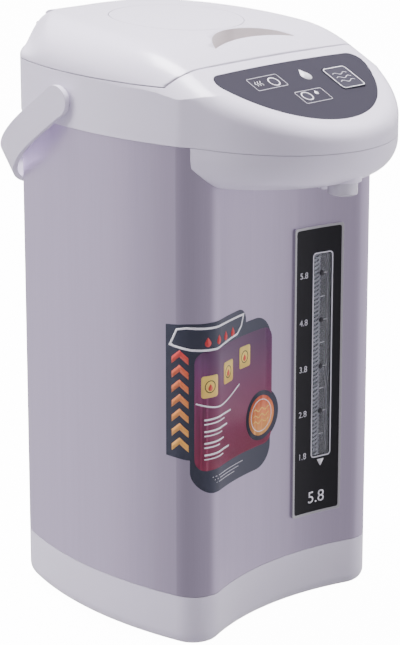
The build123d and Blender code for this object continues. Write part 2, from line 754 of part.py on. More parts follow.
with BuildPart() as upper_hose:
    add(hose(
        [
            (WINDOW_X, TUBE_Y, TUBE_Z1),
            (WINDOW_X, TUBE_Y, HOSE_TOP),
            (0, NOZZLE_Y, HOSE_TOP),
            (0, NOZZLE_Y, NOZZLE_TOP),
        ],
        [12, 12], HOSE_R, HOSE_BORE,
    ))
keep(upper_hose, "upper_hose")

# ================================================================ water gauge
with BuildPart() as gauge_frame:
    add(gauge_slice(GAUGE_PROUD, 0))
    add(
        front_block(GAUGE_X, GAUGE_W - 2 * GAUGE_RIM, GAUGE_Z0 + GAUGE_RIM, GAUGE_Z1 - GAUGE_RIM,
                    GAUGE_CORNER_R),
        mode=Mode.SUBTRACT,
    )
    add(front_block(GAUGE_X, GAUGE_W, GAUGE_Z0, GAUGE_Z1, GAUGE_CORNER_R), mode=Mode.INTERSECT)
keep(gauge_frame, "gauge_frame")

with BuildPart() as gauge_panel:
    face_edge = GAUGE_RIM + 0.1
    plug_edge = WALL + 0.1
    add(gauge_slice(GAUGE_PROUD - 0.4, 0)
        & front_block(GAUGE_X, GAUGE_W - 2 * face_edge, GAUGE_Z0 + face_edge, GAUGE_Z1 - face_edge,
                      GAUGE_CORNER_R))
    add(gauge_slice(0, SHELL_T + 1)
        & front_block(GAUGE_X, GAUGE_W - 2 * plug_edge, GAUGE_Z0 + plug_edge, GAUGE_Z1 - plug_edge,
                      GAUGE_CORNER_R))
    add(front_block(WINDOW_X, WINDOW_W, WINDOW_Z0, WINDOW_Z1, GAUGE_CORNER_R), mode=Mode.SUBTRACT)
keep(gauge_panel, "gauge_panel")

with BuildPart() as gauge_window:
    add(gauge_slice(GAUGE_PROUD - 0.8, SHELL_T))
    add(
        front_block(WINDOW_X, WINDOW_W - 0.2, WINDOW_Z0 + 0.1, WINDOW_Z1 - 0.1, GAUGE_CORNER_R),
        mode=Mode.INTERSECT,
    )
keep(gauge_window, "gauge_window")

# ================================================================ head
deck_z = LID_SEAM - LID_GAP / 2
lid_low = LID_SEAM + LID_GAP / 2
tongue_half = TONGUE_W / 2
throat_low = TANK_TOP + SEAM_GAP

with BuildPart() as head:
    add(outside)
    add(prism(body_line, 2 * HEAD_PROUD, BEAK_BOTTOM, HEAD_SEAM), mode=Mode.SUBTRACT)
    add(box(-BEYOND, BEYOND, BEAK_SEAM_Y + 1, BEYOND, BEAK_BOTTOM, HEAD_SEAM), mode=Mode.SUBTRACT)
    add(beak_zone(0), mode=Mode.SUBTRACT)
    add(lid_zone(-LID_GAP / 2), mode=Mode.SUBTRACT)
    add(inside - lid_zone(-LID_GAP / 2 - WALL), mode=Mode.SUBTRACT)
    add(disc(0, TANK_Y, throat_low, deck_z - WALL + 0.1, THROAT_R + WALL))
    add(disc(0, TANK_Y, throat_low, throat_low + WALL, TANK_R + TANK_T + TANK_LIP))
    add(disc(0, TANK_Y, throat_low, LID_SEAM, THROAT_R), mode=Mode.SUBTRACT)
    add(panel_prism(0) - under_panel, mode=Mode.SUBTRACT)
    opening = BUTTON + 2 * MOVING_GAP
    corner_r = BUTTON_CORNER_R + MOVING_GAP
    add(slope_block(BUTTON_X, BUTTON_Y, opening, opening, corner_r, -2, 2 * WALL), mode=Mode.SUBTRACT)
    for x, y in LAMPS:
        add(slope_disc(x, y, LAMP_R, -2, 2 * WALL), mode=Mode.SUBTRACT)
        add(slope_disc(x - 20, y + 8, 3, WALL, BOARD_DEPTH))
    sweep_r = hypot(back_y + HEAD_PROUD - HINGE_Y, HINGE_Z - lid_low) + MOVING_GAP
    add(cross_pin(-HALF_WIDTH - 5, HALF_WIDTH + 5, HINGE_Y, HINGE_Z, sweep_r)
        - box(-HINGE_HALF_W, HINGE_HALF_W, 80, BEYOND, HEAD_SEAM, ABOVE), mode=Mode.SUBTRACT)
    add(box(-tongue_half - MOVING_GAP, tongue_half + MOVING_GAP, TONGUE_TIP_Y - MOVING_GAP, LID_STEP_Y,
            TONGUE_Z - MOVING_GAP, LID_STEP_Z + WALL), mode=Mode.SUBTRACT)
    add(cross_pin(-HALF_WIDTH - 5, HALF_WIDTH + 5, HANDLE_Y, HANDLE_Z, HANDLE_PIN_R)
        - box(-hub_start, hub_start, -BEYOND, BEYOND, HEAD_SEAM, ABOVE), mode=Mode.SUBTRACT)
keep(head, "head")

with BuildPart() as beak_cover:
    full_low = BEAK_BOTTOM + WALL
    add(prism(head_line, HEAD_PROUD, BEAK_BOTTOM, HEAD_SEAM, BEAK_FILLET))
    add(prism(head_line, HEAD_PROUD - WALL, full_low, HEAD_SEAM, BEAK_FILLET - WALL)
        - prism(body_line, SEAM_GAP + WALL, full_low, HEAD_SEAM), mode=Mode.SUBTRACT)
    add(prism(body_line, SEAM_GAP, BEAK_BOTTOM, HEAD_SEAM), mode=Mode.SUBTRACT)
    add(beak_zone(SEAM_GAP), mode=Mode.INTERSECT)
    add(box(-BEYOND, BEYOND, NOSE_Y, BEAK_SEAM_Y + 1, BEAK_BOTTOM, HEAD_SEAM), mode=Mode.INTERSECT)
    add(disc(0, NOZZLE_Y, full_low - 1, NOZZLE_SEAT, NOZZLE_R + 2.5))
    add(disc(0, NOZZLE_Y, BEAK_BOTTOM - 1, NOZZLE_SEAT + 1, NOZZLE_R + 0.1), mode=Mode.SUBTRACT)
    ear = LEVER_W / 2 + MOVING_GAP
    for side in (1, -1):
        x0, x1 = sorted((side * ear, side * (ear + WALL)))
        add(box(x0, x1, LEVER_Y - 2.5, LEVER_Y + 5, full_low - 1, LEVER_AXIS_Z + 3.5))
    add(cross_pin(-ear - WALL, ear + WALL, LEVER_Y, LEVER_AXIS_Z, LEVER_PIN_R + RUN_GAP), mode=Mode.SUBTRACT)
    reach = (LEVER_AXIS_Z - BEAK_BOTTOM) * tan(radians(LEVER_SWING))
    add(box(-ear, ear, LEVER_Y - LEVER_T / 2 - MOVING_GAP, LEVER_Y + LEVER_T / 2 + reach + MOVING_GAP,
            BEAK_BOTTOM - 1, full_low), mode=Mode.SUBTRACT)
keep(beak_cover, "beak_cover")

with BuildPart() as nozzle:
    add(disc(0, NOZZLE_Y, NOZZLE_BOTTOM, NOZZLE_SEAT, NOZZLE_R))
    chamfer(nozzle.edges().group_by(Axis.Z)[0], 0.8)
    add(disc(0, NOZZLE_Y, NOZZLE_SEAT, NOZZLE_TOP, HOSE_R))
    add(disc(0, NOZZLE_Y, NOZZLE_BOTTOM, NOZZLE_SEAT - 2, NOZZLE_BORE), mode=Mode.SUBTRACT)
    add(disc(0, NOZZLE_Y, NOZZLE_BOTTOM, NOZZLE_TOP, HOSE_BORE), mode=Mode.SUBTRACT)
keep(nozzle, "nozzle")

with BuildPart() as cup_lever:
    add(box(-LEVER_W / 2, LEVER_W / 2, LEVER_Y - LEVER_T / 2, LEVER_Y + LEVER_T / 2, LEVER_TIP, LEVER_AXIS_Z))
    fillet(cup_lever.edges().filter_by(Axis.Y).group_by(Axis.Z)[0], 3)
    add(cross_pin(-LEVER_W / 2, LEVER_W / 2, LEVER_Y, LEVER_AXIS_Z, LEVER_T))
    add(cross_pin(-ear - WALL, ear + WALL, LEVER_Y, LEVER_AXIS_Z, LEVER_PIN_R))
keep(cup_lever, "cup_lever")

# ================================================================ control panel
with BuildPart() as control_panel:
    add(outside)
    add(panel_prism(-0.15), mode=Mode.INTERSECT)
    add(under_panel, mode=Mode.SUBTRACT)
    add(slope_block(BUTTON_X, BUTTON_Y, opening, opening, corner_r, -3, 6), mode=Mode.SUBTRACT)
    for x, y in LAMPS:
        add(slope_disc(x, y, LAMP_R, -3, 6), mode=Mode.SUBTRACT)
keep(control_panel, "control_panel")

with BuildPart() as dispense_button:
    add(slope_block(BUTTON_X, BUTTON_Y, BUTTON, BUTTON, BUTTON_CORNER_R, -BUTTON_PROUD, BUTTON_T - BUTTON_PROUD))
    top = dispense_button.faces().sort_by(Axis((0, 0, 0), slope_plane(0, 0).z_dir))[-1]
    fillet(top.edges(), 0.8)
keep(dispense_button, "dispense_button")

for lamp_name, (x, y) in zip(("boil_lamp", "warm_lamp"), LAMPS):
    with BuildPart() as lamp:
        add(slope_disc(x, y, LAMP_R - 0.1, 0, BOARD_DEPTH))
    keep(lamp, lamp_name)

with BuildPart() as control_board:
    add(slope_block(-8, BUTTON_Y, 110, 30, 2, BOARD_DEPTH, BOARD_DEPTH + BOARD_T))
    switch_top = BUTTON_T - BUTTON_PROUD + BUTTON_TRAVEL + SEAM_GAP
    add(slope_block(BUTTON_X, BUTTON_Y, SWITCH, SWITCH, 1, switch_top, BOARD_DEPTH))
keep(control_board, "control_board")

# ================================================================ lid
notch_half = HINGE_HALF_W + MOVING_GAP
notch_y = HINGE_Y - HINGE_BARREL_R - MOVING_GAP
lug_half = notch_half + LUG_W
liner_top = LINER_Z + LINER_T
stem_half = STEM_W / 2
lid_screw_spots = [(side * x, y) for side in (1, -1) for x, y in LID_SCREW_SPOTS]

with BuildPart() as lid_hollow:
    add(inside & lid_zone(LID_GAP / 2 + WALL, 2 * WALL))
    add(box(-lug_half, lug_half, notch_y - WALL, BEYOND, LID_SEAM - WALL, ABOVE), mode=Mode.SUBTRACT)
    for x, y in lid_screw_spots:
        add(disc(x, y, liner_top, ABOVE, BOSS_R - WALL), mode=Mode.SUBTRACT)
    add(crescent(POCKET_WALL, POCKET_FLOOR - POCKET_WALL, ABOVE), mode=Mode.SUBTRACT)

with BuildPart() as lid_shell:
    add(outside)
    add(lid_zone(LID_GAP / 2), mode=Mode.INTERSECT)
    add(lid_hollow.part, mode=Mode.SUBTRACT)
    for x, y in lid_screw_spots:
        add(disc(x, y, liner_top, liner_top + SCREW_L, SCREW_R), mode=Mode.SUBTRACT)
    add(crescent(0, POCKET_FLOOR, ABOVE), mode=Mode.SUBTRACT)
    add(box(-stem_half - MOVING_GAP, stem_half + MOVING_GAP, STEM_Y - MOVING_GAP,
            STEM_Y + STEM_L + LATCH_TRAVEL + MOVING_GAP, liner_top, POCKET_FLOOR + 1), mode=Mode.SUBTRACT)
    add(box(-tongue_half - MOVING_GAP, tongue_half + MOVING_GAP, LID_FRONT_Y, STEM_Y,
            TONGUE_Z - MOVING_GAP, TONGUE_Z + TONGUE_T + MOVING_GAP), mode=Mode.SUBTRACT)
    add(disc(0, PLATE_Y, liner_top, ABOVE, PLATE_R + MOVING_GAP), mode=Mode.SUBTRACT)
    add(box(-notch_half, notch_half, notch_y, BEYOND, LID_SEAM, ABOVE), mode=Mode.SUBTRACT)
    add(cross_pin(-HINGE_PIN_HALF - MOVING_GAP, HINGE_PIN_HALF + MOVING_GAP, HINGE_Y, HINGE_Z,
                  HINGE_PIN_R + RUN_GAP), mode=Mode.SUBTRACT)
keep(lid_shell, "lid_shell")

with BuildPart() as lid_liner:
    fit = WALL + 0.2
    add(prism(head_line, HEAD_PROUD - fit, LINER_Z, liner_top) & envelope(fit))
    add(lid_zone(LID_GAP / 2 + fit, 2 * WALL), mode=Mode.INTERSECT)
    add(box(-lug_half - 0.2, lug_half + 0.2, notch_y - fit, BEYOND, LID_SEAM, ABOVE), mode=Mode.SUBTRACT)
    for x, y in lid_screw_spots:
        add(disc(x, y, LINER_Z, liner_top, SCREW_R), mode=Mode.SUBTRACT)
keep(lid_liner, "lid_liner")

with BuildPart() as lid_screws:
    with BuildSketch(Plane.XY.offset(LINER_Z - SCREW_HEAD_H)):
        with Locations(*lid_screw_spots):
            Circle(SCREW_HEAD_R)
            RegularPolygon(1.3, 6, mode=Mode.SUBTRACT)
    extrude(amount=SCREW_HEAD_H)
    with BuildSketch(Plane.XY.offset(LINER_Z - SCREW_HEAD_H / 2)):
        with Locations(*lid_screw_spots):
            Circle(SCREW_R)
    extrude(amount=SCREW_L)
keep(lid_screws, "lid_screws")

with BuildPart() as lid_seal:
    add(disc(0, TANK_Y, lid_low - SEAM_GAP, LINER_Z, SEAL_R, SEAL_INNER_R))
    chamfer(lid_seal.edges().group_by(Axis.Z)[0], 0.6)
keep(lid_seal, "lid_seal")

with BuildPart() as inner_lid:
    add(disc(0, TANK_Y, PLUG_BOTTOM, LINER_Z, PLUG_R))
    fillet(inner_lid.edges().group_by(Axis.Z)[0], 6)
    add(disc(0, TANK_Y, PLUG_BOTTOM + 2, LINER_Z, PLUG_R - 2.5), mode=Mode.SUBTRACT)
keep(inner_lid, "inner_lid")

with BuildPart() as vent_plate:
    add(disc(0, TANK_Y, PLUG_BOTTOM - 1, PLUG_BOTTOM, PLUG_R - 12))
    add(disc(0, TANK_Y + 30, PLUG_BOTTOM - 4, PLUG_BOTTOM - 1, 9))
keep(vent_plate, "vent_plate")

with BuildPart() as pump_sleeve:
    sleeve_r = PLATE_R + MOVING_GAP + SLEEVE_T
    add(disc(0, PLATE_Y, liner_top, ABOVE, sleeve_r, PLATE_R + MOVING_GAP))
    add(inside, mode=Mode.INTERSECT)
    add(crescent(POCKET_WALL + SEAM_GAP, liner_top, ABOVE), mode=Mode.SUBTRACT)
keep(pump_sleeve, "pump_sleeve")

skirt_low = liner_top + PLATE_TRAVEL + SKIRT_CLEAR
with BuildPart() as press_plate:
    add(outside)
    add(disc(0, PLATE_Y, skirt_low, ABOVE, PLATE_R), mode=Mode.INTERSECT)
    add(envelope(PLATE_T) & disc(0, PLATE_Y, skirt_low, ABOVE, PLATE_R - SKIRT_T), mode=Mode.SUBTRACT)
keep(press_plate, "press_plate")

with BuildPart() as lid_latch:
    latch_low = POCKET_FLOOR + SEAM_GAP
    grip_top = latch_low + LATCH_T + LATCH_GRIP
    room = crescent(-MOVING_GAP, latch_low, grip_top)
    slid = room & room.moved(Location((0, -LATCH_TRAVEL, 0)))
    add(slid & box(-60, 60, -100, -30, latch_low, latch_low + LATCH_T))
    add(box(-GRIP_W / 2, GRIP_W / 2, STEM_Y, STEM_Y + GRIP_T, latch_low, grip_top))
    add(box(-stem_half, stem_half, STEM_Y, STEM_Y + STEM_L, TONGUE_Z, latch_low))
    add(box(-tongue_half, tongue_half, TONGUE_TIP_Y, TONGUE_REAR_Y, TONGUE_Z, TONGUE_Z + TONGUE_T))
keep(lid_latch, "lid_latch")

# ================================================================ lid hinge
with BuildPart() as hinge_block:
    add(cross_pin(-HINGE_HALF_W, HINGE_HALF_W, HINGE_Y, HINGE_Z, HINGE_BARREL_R))
    add(box(-HINGE_HALF_W, HINGE_HALF_W, HINGE_Y - HINGE_BARREL_R, BEYOND, deck_z, HINGE_Z))
    add(prism(head_line, HEAD_PROUD, deck_z, ABOVE), mode=Mode.INTERSECT)
    add(cross_pin(-HINGE_PIN_HALF, HINGE_PIN_HALF, HINGE_Y, HINGE_Z, HINGE_PIN_R), mode=Mode.SUBTRACT)
keep(hinge_block, "hinge_block")

with BuildPart() as hinge_pin:
    add(cross_pin(-HINGE_PIN_HALF, HINGE_PIN_HALF, HINGE_Y, HINGE_Z, HINGE_PIN_R))
keep(hinge_pin, "hinge_pin")

# ================================================================ carry handle
with BuildPart() as handle_pins:
    for side in (1, -1):
        hub = sorted((side * (HANDLE_INNER - MOVING_GAP), side * hub_start))
        pin = sorted((side * (HANDLE_INNER + PIN_DEPTH - SEAM_GAP), side * hub_start))
        add(cross_pin(*hub, HANDLE_Y, HANDLE_Z, HUB_R) - outside)
        add(cross_pin(*pin, HANDLE_Y, HANDLE_Z, HANDLE_PIN_R))
keep(handle_pins, "handle_pins")

bail_plane = Plane(origin=(0, HANDLE_Y, HANDLE_Z), x_dir=(1, 0, 0), z_dir=(0, sin(lean), cos(lean)))


def bail(inset, start=0.0):
    """Draws the closed bow of the handle in its own plane, set in from the outside."""
    half = handle_half - inset
    turn_x = handle_half - HANDLE_CORNER_R
    Line((-half, start), (-half, HANDLE_STRAIGHT))
    CenterArc((-turn_x, HANDLE_STRAIGHT), HANDLE_CORNER_R - inset, 180, -HANDLE_TURN)
    CenterArc((0, BOW_Y), BOW_R - inset, 180 - HANDLE_TURN, 2 * HANDLE_TURN - 180)
    CenterArc((turn_x, HANDLE_STRAIGHT), HANDLE_CORNER_R - inset, HANDLE_TURN, -HANDLE_TURN)
    Line((half, HANDLE_STRAIGHT), (half, start))
    Line((half, start), (-half, start))


def bow(outer, inner, half_width, start=0.0):
    """Strap of the handle between two insets."""
    with BuildPart(mode=Mode.PRIVATE) as strap:
        with BuildSketch(bail_plane):
            with BuildLine():
                bail(outer, start)
            make_face()
            with BuildLine():
                bail(inner, start)
            make_face(mode=Mode.SUBTRACT)
        extrude(amount=half_width, both=True)
    return strap.part


with BuildPart() as handle:
    add(bow(0, STRAP_T, STRAP_W / 2))
    add(bow(STRAP_LIP, STRAP_T + 1, STRAP_W / 2 - STRAP_LIP, HANDLE_END_R + STRAP_LIP)
        - box(-200, 200, -100, HANDLE_Y, 200, 500), mode=Mode.SUBTRACT)
    for side in (1, -1):
        end = sorted((side * HANDLE_INNER, side * (HANDLE_INNER + STRAP_T)))
        bore = sorted((side * HANDLE_INNER, side * (HANDLE_INNER + PIN_DEPTH)))
        add(cross_pin(*end, HANDLE_Y, HANDLE_Z, HANDLE_END_R))
        add(cross_pin(*bore, HANDLE_Y, HANDLE_Z, HANDLE_PIN_R + RUN_GAP), mode=Mode.SUBTRACT)
keep(handle, "handle")
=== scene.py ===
"""Electric thermo pot: finishes, lid top, sight tube, gauge, panel and label prints, studio."""
import json
import math

import bmesh
import bpy
from mathutils import Matrix, Vector


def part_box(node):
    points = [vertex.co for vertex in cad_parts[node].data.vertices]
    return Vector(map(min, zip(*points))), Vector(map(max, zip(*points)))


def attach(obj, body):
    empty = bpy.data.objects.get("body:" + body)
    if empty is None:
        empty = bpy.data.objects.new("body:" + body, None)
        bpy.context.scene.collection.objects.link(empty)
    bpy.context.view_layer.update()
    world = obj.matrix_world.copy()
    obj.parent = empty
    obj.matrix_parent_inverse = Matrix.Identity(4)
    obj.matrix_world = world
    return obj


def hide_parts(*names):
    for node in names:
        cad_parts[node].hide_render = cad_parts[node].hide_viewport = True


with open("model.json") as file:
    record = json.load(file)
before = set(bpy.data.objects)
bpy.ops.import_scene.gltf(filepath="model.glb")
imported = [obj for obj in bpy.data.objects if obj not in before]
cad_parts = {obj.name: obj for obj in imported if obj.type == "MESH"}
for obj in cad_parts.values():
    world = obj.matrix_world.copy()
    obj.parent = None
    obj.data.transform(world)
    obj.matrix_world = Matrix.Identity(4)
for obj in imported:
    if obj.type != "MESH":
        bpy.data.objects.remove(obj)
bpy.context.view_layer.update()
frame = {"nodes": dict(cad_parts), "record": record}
nodes = frame["nodes"]

MM = 0.001

# ---------------------------------------------------------------- places on the pot (mm)
FRONT_Y = -306.5          # centre of the hollow front, before the common shift
FRONT_R = 216.5
CORNER_X = 80.2           # centre of the round front corner
CORNER_R = 21.1
HALF_WIDTH = 105.0
SIDE_R = 307.6
STEEL_FRONT = -103.94     # foremost point of the steel, before the common shift

SLOPE = math.radians(27.0)
SLOPE_Y = -95.0           # the panel's slope passes through this depth and height
SLOPE_Z = 412.5
CROWN_Z = -1562.7         # axis of the crowned top

WINDOW_X = 44.8
WINDOW_W = 15.5
WINDOW_LOW = 113.0
WINDOW_HIGH = 267.5
GAUGE_FACE = 1.2          # gauge face in front of the steel
WINDOW_FACE = 0.8
TUBE_X = WINDOW_X
TUBE_Y = -86.0

BUTTON_X = 37.5
BUTTON_Y = -118.8
BUTTON_SIDE = 25.0
BUTTON_PROUD = 0.5
LABEL_FACE = 0.27         # label face in front of the steel
INK = 0.06                # how thick a printed shape is

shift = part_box("steel_shell")[0].y / MM - STEEL_FRONT

corner_y = FRONT_Y + math.sqrt((FRONT_R + CORNER_R) ** 2 - CORNER_X ** 2)
side_x = SIDE_R - HALF_WIDTH
side_y = corner_y + math.sqrt((SIDE_R - CORNER_R) ** 2 - (CORNER_X + side_x) ** 2)
front_turn = math.asin(CORNER_X / (FRONT_R + CORNER_R))
corner_start = math.atan2(FRONT_Y - corner_y, CORNER_X)
corner_end = math.atan2(corner_y - side_y, -CORNER_X - side_x)
front_length = FRONT_R * front_turn
corner_length = CORNER_R * (corner_start - corner_end)


def metres(x, y, z):
    """Point given in the part's own millimetres, moved to the common origin."""
    return Vector((x, y + shift, z)) * MM


def on_body(u, v, lift):
    """Point on the steel: u runs round it, rightwards from the middle of the front, v is height."""
    run = -u
    if run <= front_length:
        angle = run / FRONT_R
        radius = FRONT_R - lift
        return metres(-radius * math.sin(angle), FRONT_Y + radius * math.cos(angle), v)
    if run <= front_length + corner_length:
        angle = corner_start - (run - front_length) / CORNER_R
        radius = CORNER_R + lift
        return metres(-CORNER_X + radius * math.cos(angle), corner_y + radius * math.sin(angle), v)
    angle = corner_end - (run - front_length - corner_length) / SIDE_R
    radius = SIDE_R + lift
    return metres(side_x + radius * math.cos(angle), side_y + radius * math.sin(angle), v)


def on_gauge(u, v, lift):
    """Point on the water gauge: u is across, v is height."""
    radius = FRONT_R - lift
    return metres(u, FRONT_Y + math.sqrt(radius ** 2 - u ** 2), v)


def on_slope(u, v, lift):
    """Point on the sloping panel: u is across, v is the plan depth."""
    profile = SLOPE_Z + math.tan(SLOPE) * (v - SLOPE_Y) - CROWN_Z
    height = CROWN_Z + math.sqrt(profile ** 2 - u ** 2)
    return metres(u, v - lift * math.sin(SLOPE), height + lift * math.cos(SLOPE))


def on_button(u, v, lift):
    """Point on the top of the button: u is across, v is up the slope."""
    middle_z = SLOPE_Z + math.tan(SLOPE) * (BUTTON_Y - SLOPE_Y)
    raised = BUTTON_PROUD + lift
    return metres(BUTTON_X + u, BUTTON_Y + v * math.cos(SLOPE) - raised * math.sin(SLOPE),
                  middle_z + v * math.sin(SLOPE) + raised * math.cos(SLOPE))


def new_object(name, data):
    """Object that shows some data, put in the scene."""
    made = bpy.data.objects.new(name, data)
    bpy.context.scene.collection.objects.link(made)
    return made


# ---------------------------------------------------------------- node tools
FLOAT = "NodeSocketFloat"
COLOUR = "NodeSocketColor"
VECTOR = "NodeSocketVector"
WHOLE = "NodeSocketInt"
COATING = "NodeSocketMaterial"


def link(tree, source, target):
    """Joins an output socket to an input socket."""
    tree.links.new(source, target)


def plug(tree, value, socket):
    """Fills an input socket with a value or a link."""
    if isinstance(value, bpy.types.NodeSocket):
        link(tree, value, socket)
    else:
        socket.default_value = value


def add(tree, kind, **settings):
    """Adds a node and sets its properties."""
    node = tree.nodes.new(kind)
    for name, value in settings.items():
        setattr(node, name, value)
    return node


def feed(tree, node, **inputs):
    """Fills input sockets by name, spaces written as underscores."""
    for name, value in inputs.items():
        plug(tree, value, node.inputs[name.replace("_", " ")])
    return node


def shader_group(name, inputs, outputs):
    """New shader node group with named sockets; returns it with its two end nodes."""
    group = bpy.data.node_groups.new(name, "ShaderNodeTree")
    for socket, (kind, value) in inputs.items():
        made = group.interface.new_socket(name=socket, in_out="INPUT", socket_type=kind)
        made.default_value = value
    for socket, kind in outputs.items():
        group.interface.new_socket(name=socket, in_out="OUTPUT", socket_type=kind)
    return group, add(group, "NodeGroupInput"), add(group, "NodeGroupOutput")


def maths(tree, operation, first, second):
    """Maths node; returns its output."""
    node = add(tree, "ShaderNodeMath", operation=operation)
    plug(tree, first, node.inputs[0])
    plug(tree, second, node.inputs[1])
    return node.outputs[0]


def blend_colours(tree, factor, first, second):
    """Mix of two colours; returns its output."""
    node = add(tree, "ShaderNodeMix", data_type="RGBA")
    factor_in, first_in, second_in, colour_out = 0, 6, 7, 2
    plug(tree, factor, node.inputs[factor_in])
    plug(tree, first, node.inputs[first_in])
    plug(tree, second, node.inputs[second_in])
    return node.outputs[colour_out]


def noise(tree, where, scale, detail, **more):
    """Noise texture; returns its value."""
    node = add(tree, "ShaderNodeTexNoise")
    feed(tree, node, Vector=where, Scale=scale, Detail=detail, **more)
    return node.outputs["Fac"]


def uneven_gloss(tree, start, pattern):
    """Roughness: the group's floor and a share of its spread that follows a pattern."""
    spread = maths(tree, "MULTIPLY", pattern, start.outputs["Gloss Spread"])
    return maths(tree, "ADD", spread, start.outputs["Gloss Floor"])


# ---------------------------------------------------------------- surface effects
CLOUD_SCALE = 14.0
CLOUD_ROUGHNESS = 0.55
FINE_STREAKS = 2400.0
FINE_SHARE = 0.6
BROAD_STREAKS = 160.0
BROAD_SHARE = 0.4
INK_GRAIN = 900.0
INK_GLOSS = 0.34
INK_UNEVEN = 2.0
NOISE_MIDDLE = 0.5


def moulded_group():
    """Injection-moulded skin: faint cloudy tone, fine spark-eroded grain and uneven gloss."""
    group, start, end = shader_group(
        "moulded skin",
        {"Tone": (COLOUR, (0.8, 0.8, 0.8, 1)), "Flow Tone": (COLOUR, (0.75, 0.75, 0.75, 1)),
         "Gloss Floor": (FLOAT, 0.3), "Gloss Spread": (FLOAT, 0.1), "Grain Size": (FLOAT, 2600.0)},
        {"Colour": COLOUR, "Roughness": FLOAT, "Height": FLOAT},
    )
    where = add(group, "ShaderNodeTexCoord").outputs["Object"]
    clouds = noise(group, where, CLOUD_SCALE, detail=2.0, Roughness=CLOUD_ROUGHNESS)
    grain = noise(group, where, start.outputs["Grain Size"], detail=2.0)
    colour = blend_colours(group, clouds, start.outputs["Tone"], start.outputs["Flow Tone"])
    feed(group, end, Colour=colour, Roughness=uneven_gloss(group, start, clouds), Height=grain)
    return group


def brushed_group():
    """Metal brushed along one direction: streaks in tone, gloss and height."""
    group, start, end = shader_group(
        "brushed grain",
        {"Tone": (COLOUR, (0.6, 0.6, 0.6, 1)), "Streak Tone": (COLOUR, (0.5, 0.5, 0.5, 1)),
         "Stretch": (VECTOR, (1.0, 1.0, 0.02)), "Gloss Floor": (FLOAT, 0.3),
         "Gloss Spread": (FLOAT, 0.1)},
        {"Colour": COLOUR, "Roughness": FLOAT, "Height": FLOAT},
    )
    where = add(group, "ShaderNodeTexCoord").outputs["Object"]
    mapping = feed(group, add(group, "ShaderNodeMapping"), Vector=where,
                   Scale=start.outputs["Stretch"])
    fine = noise(group, mapping.outputs[0], FINE_STREAKS, detail=4.0)
    broad = noise(group, mapping.outputs[0], BROAD_STREAKS, detail=3.0)
    mixed = maths(group, "ADD", maths(group, "MULTIPLY", fine, FINE_SHARE),
                  maths(group, "MULTIPLY", broad, BROAD_SHARE))
    colour = blend_colours(group, mixed, start.outputs["Tone"], start.outputs["Streak Tone"])
    feed(group, end, Colour=colour, Roughness=uneven_gloss(group, start, mixed), Height=mixed)
    return group


def ink_group():
    """Printed ink: one colour running into another with height, slightly mottled."""
    group, start, end = shader_group(
        "printed ink",
        {"Low Colour": (COLOUR, (0.5, 0.1, 0.1, 1)), "High Colour": (COLOUR, (0.3, 0.1, 0.3, 1)),
         "Low Height": (FLOAT, 0.12), "High Height": (FLOAT, 0.24), "Mottle": (FLOAT, 0.06)},
        {"Colour": COLOUR, "Roughness": FLOAT},
    )
    where = add(group, "ShaderNodeTexCoord").outputs["Object"]
    height = feed(group, add(group, "ShaderNodeSeparateXYZ"), Vector=where).outputs["Z"]
    spread = feed(group, add(group, "ShaderNodeMapRange"), Value=height,
                  From_Min=start.outputs["Low Height"], From_Max=start.outputs["High Height"])
    speckle = maths(group, "SUBTRACT", noise(group, where, INK_GRAIN, detail=3.0), NOISE_MIDDLE)
    drift = maths(group, "MULTIPLY", speckle, start.outputs["Mottle"])
    factor = maths(group, "ADD", spread.outputs[0], drift)
    colour = blend_colours(group, factor, start.outputs["Low Colour"], start.outputs["High Colour"])
    roughness = maths(group, "ADD", maths(group, "MULTIPLY", drift, INK_UNEVEN), INK_GLOSS)
    feed(group, end, Colour=colour, Roughness=roughness)
    return group


MOULDED = moulded_group()
BRUSHED = brushed_group()
INK_GROUP = ink_group()

MOULDED_RELIEF = 0.00004
BRUSHED_RELIEF = 0.00003
BRUSHED_EDGE = 0.0004
FLOW_SHADE = 0.965        # tone of the darker clouds in a moulding, as a share of its own


def finish(name, group, bump=0.0, distance=0.0, soft_edge=0.0, constants=None, **values):
    """Material: one Principled shader fed by an effect group, with the group's own values."""
    material = bpy.data.materials.new(name)
    material.use_nodes = True
    tree = material.node_tree
    shader = tree.nodes["Principled BSDF"]
    effect = feed(tree, add(tree, "ShaderNodeGroup", node_tree=group), **values)
    link(tree, effect.outputs["Colour"], shader.inputs["Base Color"])
    link(tree, effect.outputs["Roughness"], shader.inputs["Roughness"])
    if bump:
        relief = feed(tree, add(tree, "ShaderNodeBump"), Strength=bump, Distance=distance,
                      Height=effect.outputs["Height"])
        if soft_edge:
            edge = feed(tree, add(tree, "ShaderNodeBevel", samples=6), Radius=soft_edge)
            link(tree, edge.outputs[0], relief.inputs["Normal"])
        link(tree, relief.outputs[0], shader.inputs["Normal"])
    for socket, value in (constants or {}).items():
        shader.inputs[socket].default_value = value
    return material


def moulded(name, tone, floor=0.3, spread=0.08, grain=2600.0, bump=0.12, edge=0.0006, **constants):
    """Moulded plastic of one tone."""
    settings = {key.replace("_", " "): value for key, value in constants.items()}
    return finish(name, MOULDED, bump, MOULDED_RELIEF, edge, settings, Tone=(*tone, 1),
                  Flow_Tone=(*[part * FLOW_SHADE for part in tone], 1), Gloss_Floor=floor,
                  Gloss_Spread=spread, Grain_Size=grain)


def brushed(name, tone, streak, stretch, floor, spread, bump):
    """Brushed or drawn metal of one tone."""
    return finish(name, BRUSHED, bump, BRUSHED_RELIEF, BRUSHED_EDGE, {"Metallic": 1.0},
                  Tone=(*tone, 1), Streak_Tone=(*[part * streak for part in tone], 1),
                  Stretch=stretch, Gloss_Floor=floor, Gloss_Spread=spread)


